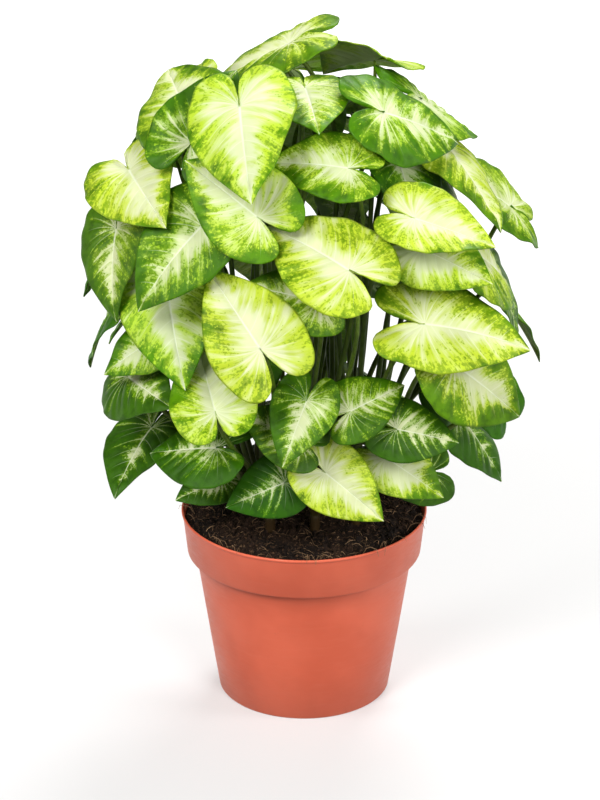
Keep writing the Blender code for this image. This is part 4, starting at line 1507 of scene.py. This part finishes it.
class StudioLooks(bpy.types.PropertyGroup):
    """The camera, the floor and the light."""

    floor: tone("Floor", "Plain pale floor", (0.50, 0.50, 0.50))
    floor_light: tone("Floor light", "Colour of the floor's own light", (1.0, 1.0, 1.0))
    sky_colour: tone("Sky colour", "Colour of the even light", (1.0, 0.98, 0.92))
    floor_glow: amount("Floor glow", "Strength of that light at the plant", 0.35)
    sky: amount("Sky", "Strength of the even light", 0.20)
    key: amount("Key", "Power of the main softbox", 30.5, "POWER")
    fill: amount("Fill", "Power of the front softbox", 27.0, "POWER")
    side: amount("Sides", "Power of each side softbox", 8.0, "POWER")
    top: amount("Top", "Power of the softbox above and behind", 28.0, "POWER")
    camera_place: spot("Camera", "Where the camera stands", (-0.022, -1.630, 0.868))
    camera_target: spot("Target", "What it looks at", (-0.002, 0.0, 0.152))
    lens: amount("Lens", "Focal length in millimetres", 166.0)
    contrast: amount("Gamma", "Gamma of the picture", 0.88)


class PLANT_OT_pot(bpy.types.Operator):
    """Builds the nursery pot with its collar, lip, foot ring and drain holes"""

    bl_idname = "plant.pot"
    bl_label = "Pot"

    def execute(self, context):
        looks = context.scene.plant_pot
        pot = turn_on_lathe("nursery_pot", fine_pot_profile(), LATHE_SEGMENTS)
        edges = {"limit_method": "ANGLE", "angle_limit": math.radians(POT_BEVEL_ANGLE)}
        apply_modifier(pot, "BEVEL", width=POT_BEVEL, segments=2, **edges)
        cut_drains(pot)
        pot.data.materials.clear()
        pot.data.materials.append(plastic_material(looks))
        shade_smooth(pot, 35)
        finish_piece(pot, "nursery_pot", "pot_plastic", "pot")
        return {"FINISHED"}


class PLANT_OT_soil(bpy.types.Operator):
    """Builds the peat, with its clods, crumbs and root fibres"""

    bl_idname = "plant.soil"
    bl_label = "Soil"

    def execute(self, context):
        looks = context.scene.plant_soil
        peat, fibre = peat_material(looks), fibre_material(looks)
        rng = random.Random(LOOKS_SEED)
        soil = add_soil()
        soil.data.materials.append(peat)
        shade_smooth(soil, 40)
        finish_piece(soil, "peat_plug", "peat", "soil")
        crumbs = mesh_piece("peat_crumbs", *scattered_crumbs(rng, looks.crumbs))
        crumbs.data.materials.append(peat)
        finish_piece(crumbs, "peat_crumbs", "peat")
        solids, tints = scattered_fibres(rng, looks.fibres)
        more, more_tints = rim_fibres(rng, looks.rim_fibres)
        fibres = mesh_piece("root_fibres", solids + more, tints + more_tints)
        fibres.data.materials.append(fibre)
        finish_piece(fibres, "root_fibres", "peat")
        return {"FINISHED"}


class PLANT_OT_leafy_stems(bpy.types.Operator):
    """Builds the nine stems with their stalks and variegated blades"""

    bl_idname = "plant.leafy_stems"
    bl_label = "Leafy stems"

    def execute(self, context):
        looks = context.scene.plant_leaves
        leaf_material("upper_blade", looks, under=False)
        leaf_material("under_blade", looks, under=True)
        stalk_material(looks)
        crown = Crown(stem_feet())
        crown.fill()
        if not crown.leaves:
            raise RuntimeError("no leaf found a place in the crown")
        for stem, foot in enumerate(crown.feet):
            pieces = [add_stem(foot, stem_height(stem))]
            for i, leaf in enumerate(crown.leaves):
                if leaf.stem == stem:
                    pieces.append(add_blade(leaf, crown.paleness[i], i + 0.37, looks))
                    pieces.append(add_stalk(leaf, crown.curves[i]))
            name = f"leafy_stem_{stem + 1}"
            piece = join_pieces(pieces)
            finish_piece(piece, f"foliage_{stem + 1}", "foliage", name)
        return {"FINISHED"}


class PLANT_OT_studio(bpy.types.Operator):
    """Sets up the pale floor, the soft light and the camera"""

    bl_idname = "plant.studio"
    bl_label = "Studio"

    def execute(self, context):
        looks = context.scene.plant_studio
        deselect_all()
        bpy.ops.mesh.primitive_plane_add(size=FLOOR_WIDTH)
        floor = context.object
        floor.name = "studio_floor"
        floor.data.materials.append(floor_material(looks))
        floor.visible_diffuse = False
        context.scene.world = studio_world(looks)
        for softbox in SOFTBOXES:
            add_softbox(softbox, getattr(looks, softbox.setting))
        add_camera(looks)
        context.scene.view_settings.view_transform = "Standard"
        context.scene.view_settings.gamma = looks.contrast
        return {"FINISHED"}


class PLANT_PT_parts(bpy.types.Panel):
    """Lists the plant's pieces"""

    bl_idname = "PLANT_PT_parts"
    bl_label = "Arrowhead plant"
    bl_space_type = "VIEW_3D"
    bl_region_type = "UI"
    bl_category = "Plant"

    def draw(self, context):
        for operator in OPERATORS:
            self.layout.operator(operator.bl_idname)


OPERATORS = (PLANT_OT_pot, PLANT_OT_soil, PLANT_OT_leafy_stems, PLANT_OT_studio)
SETTINGS = {
    "plant_pot": PotLooks,
    "plant_soil": SoilLooks,
    "plant_leaves": LeafLooks,
    "plant_studio": StudioLooks,
}


def register():
    for cls in (*SETTINGS.values(), *OPERATORS, PLANT_PT_parts):
        bpy.utils.register_class(cls)
    for name, group in SETTINGS.items():
        setattr(bpy.types.Scene, name, bpy.props.PointerProperty(type=group))


def unregister():
    for name in SETTINGS:
        delattr(bpy.types.Scene, name)
    for cls in (PLANT_PT_parts, *reversed(OPERATORS), *reversed(list(SETTINGS.values()))):
        bpy.utils.unregister_class(cls)


def main():
    register()
    for operator in OPERATORS:
        category, name = operator.bl_idname.split(".")
        getattr(getattr(bpy.ops, category), name)()


if __name__ == "__main__":
    main()
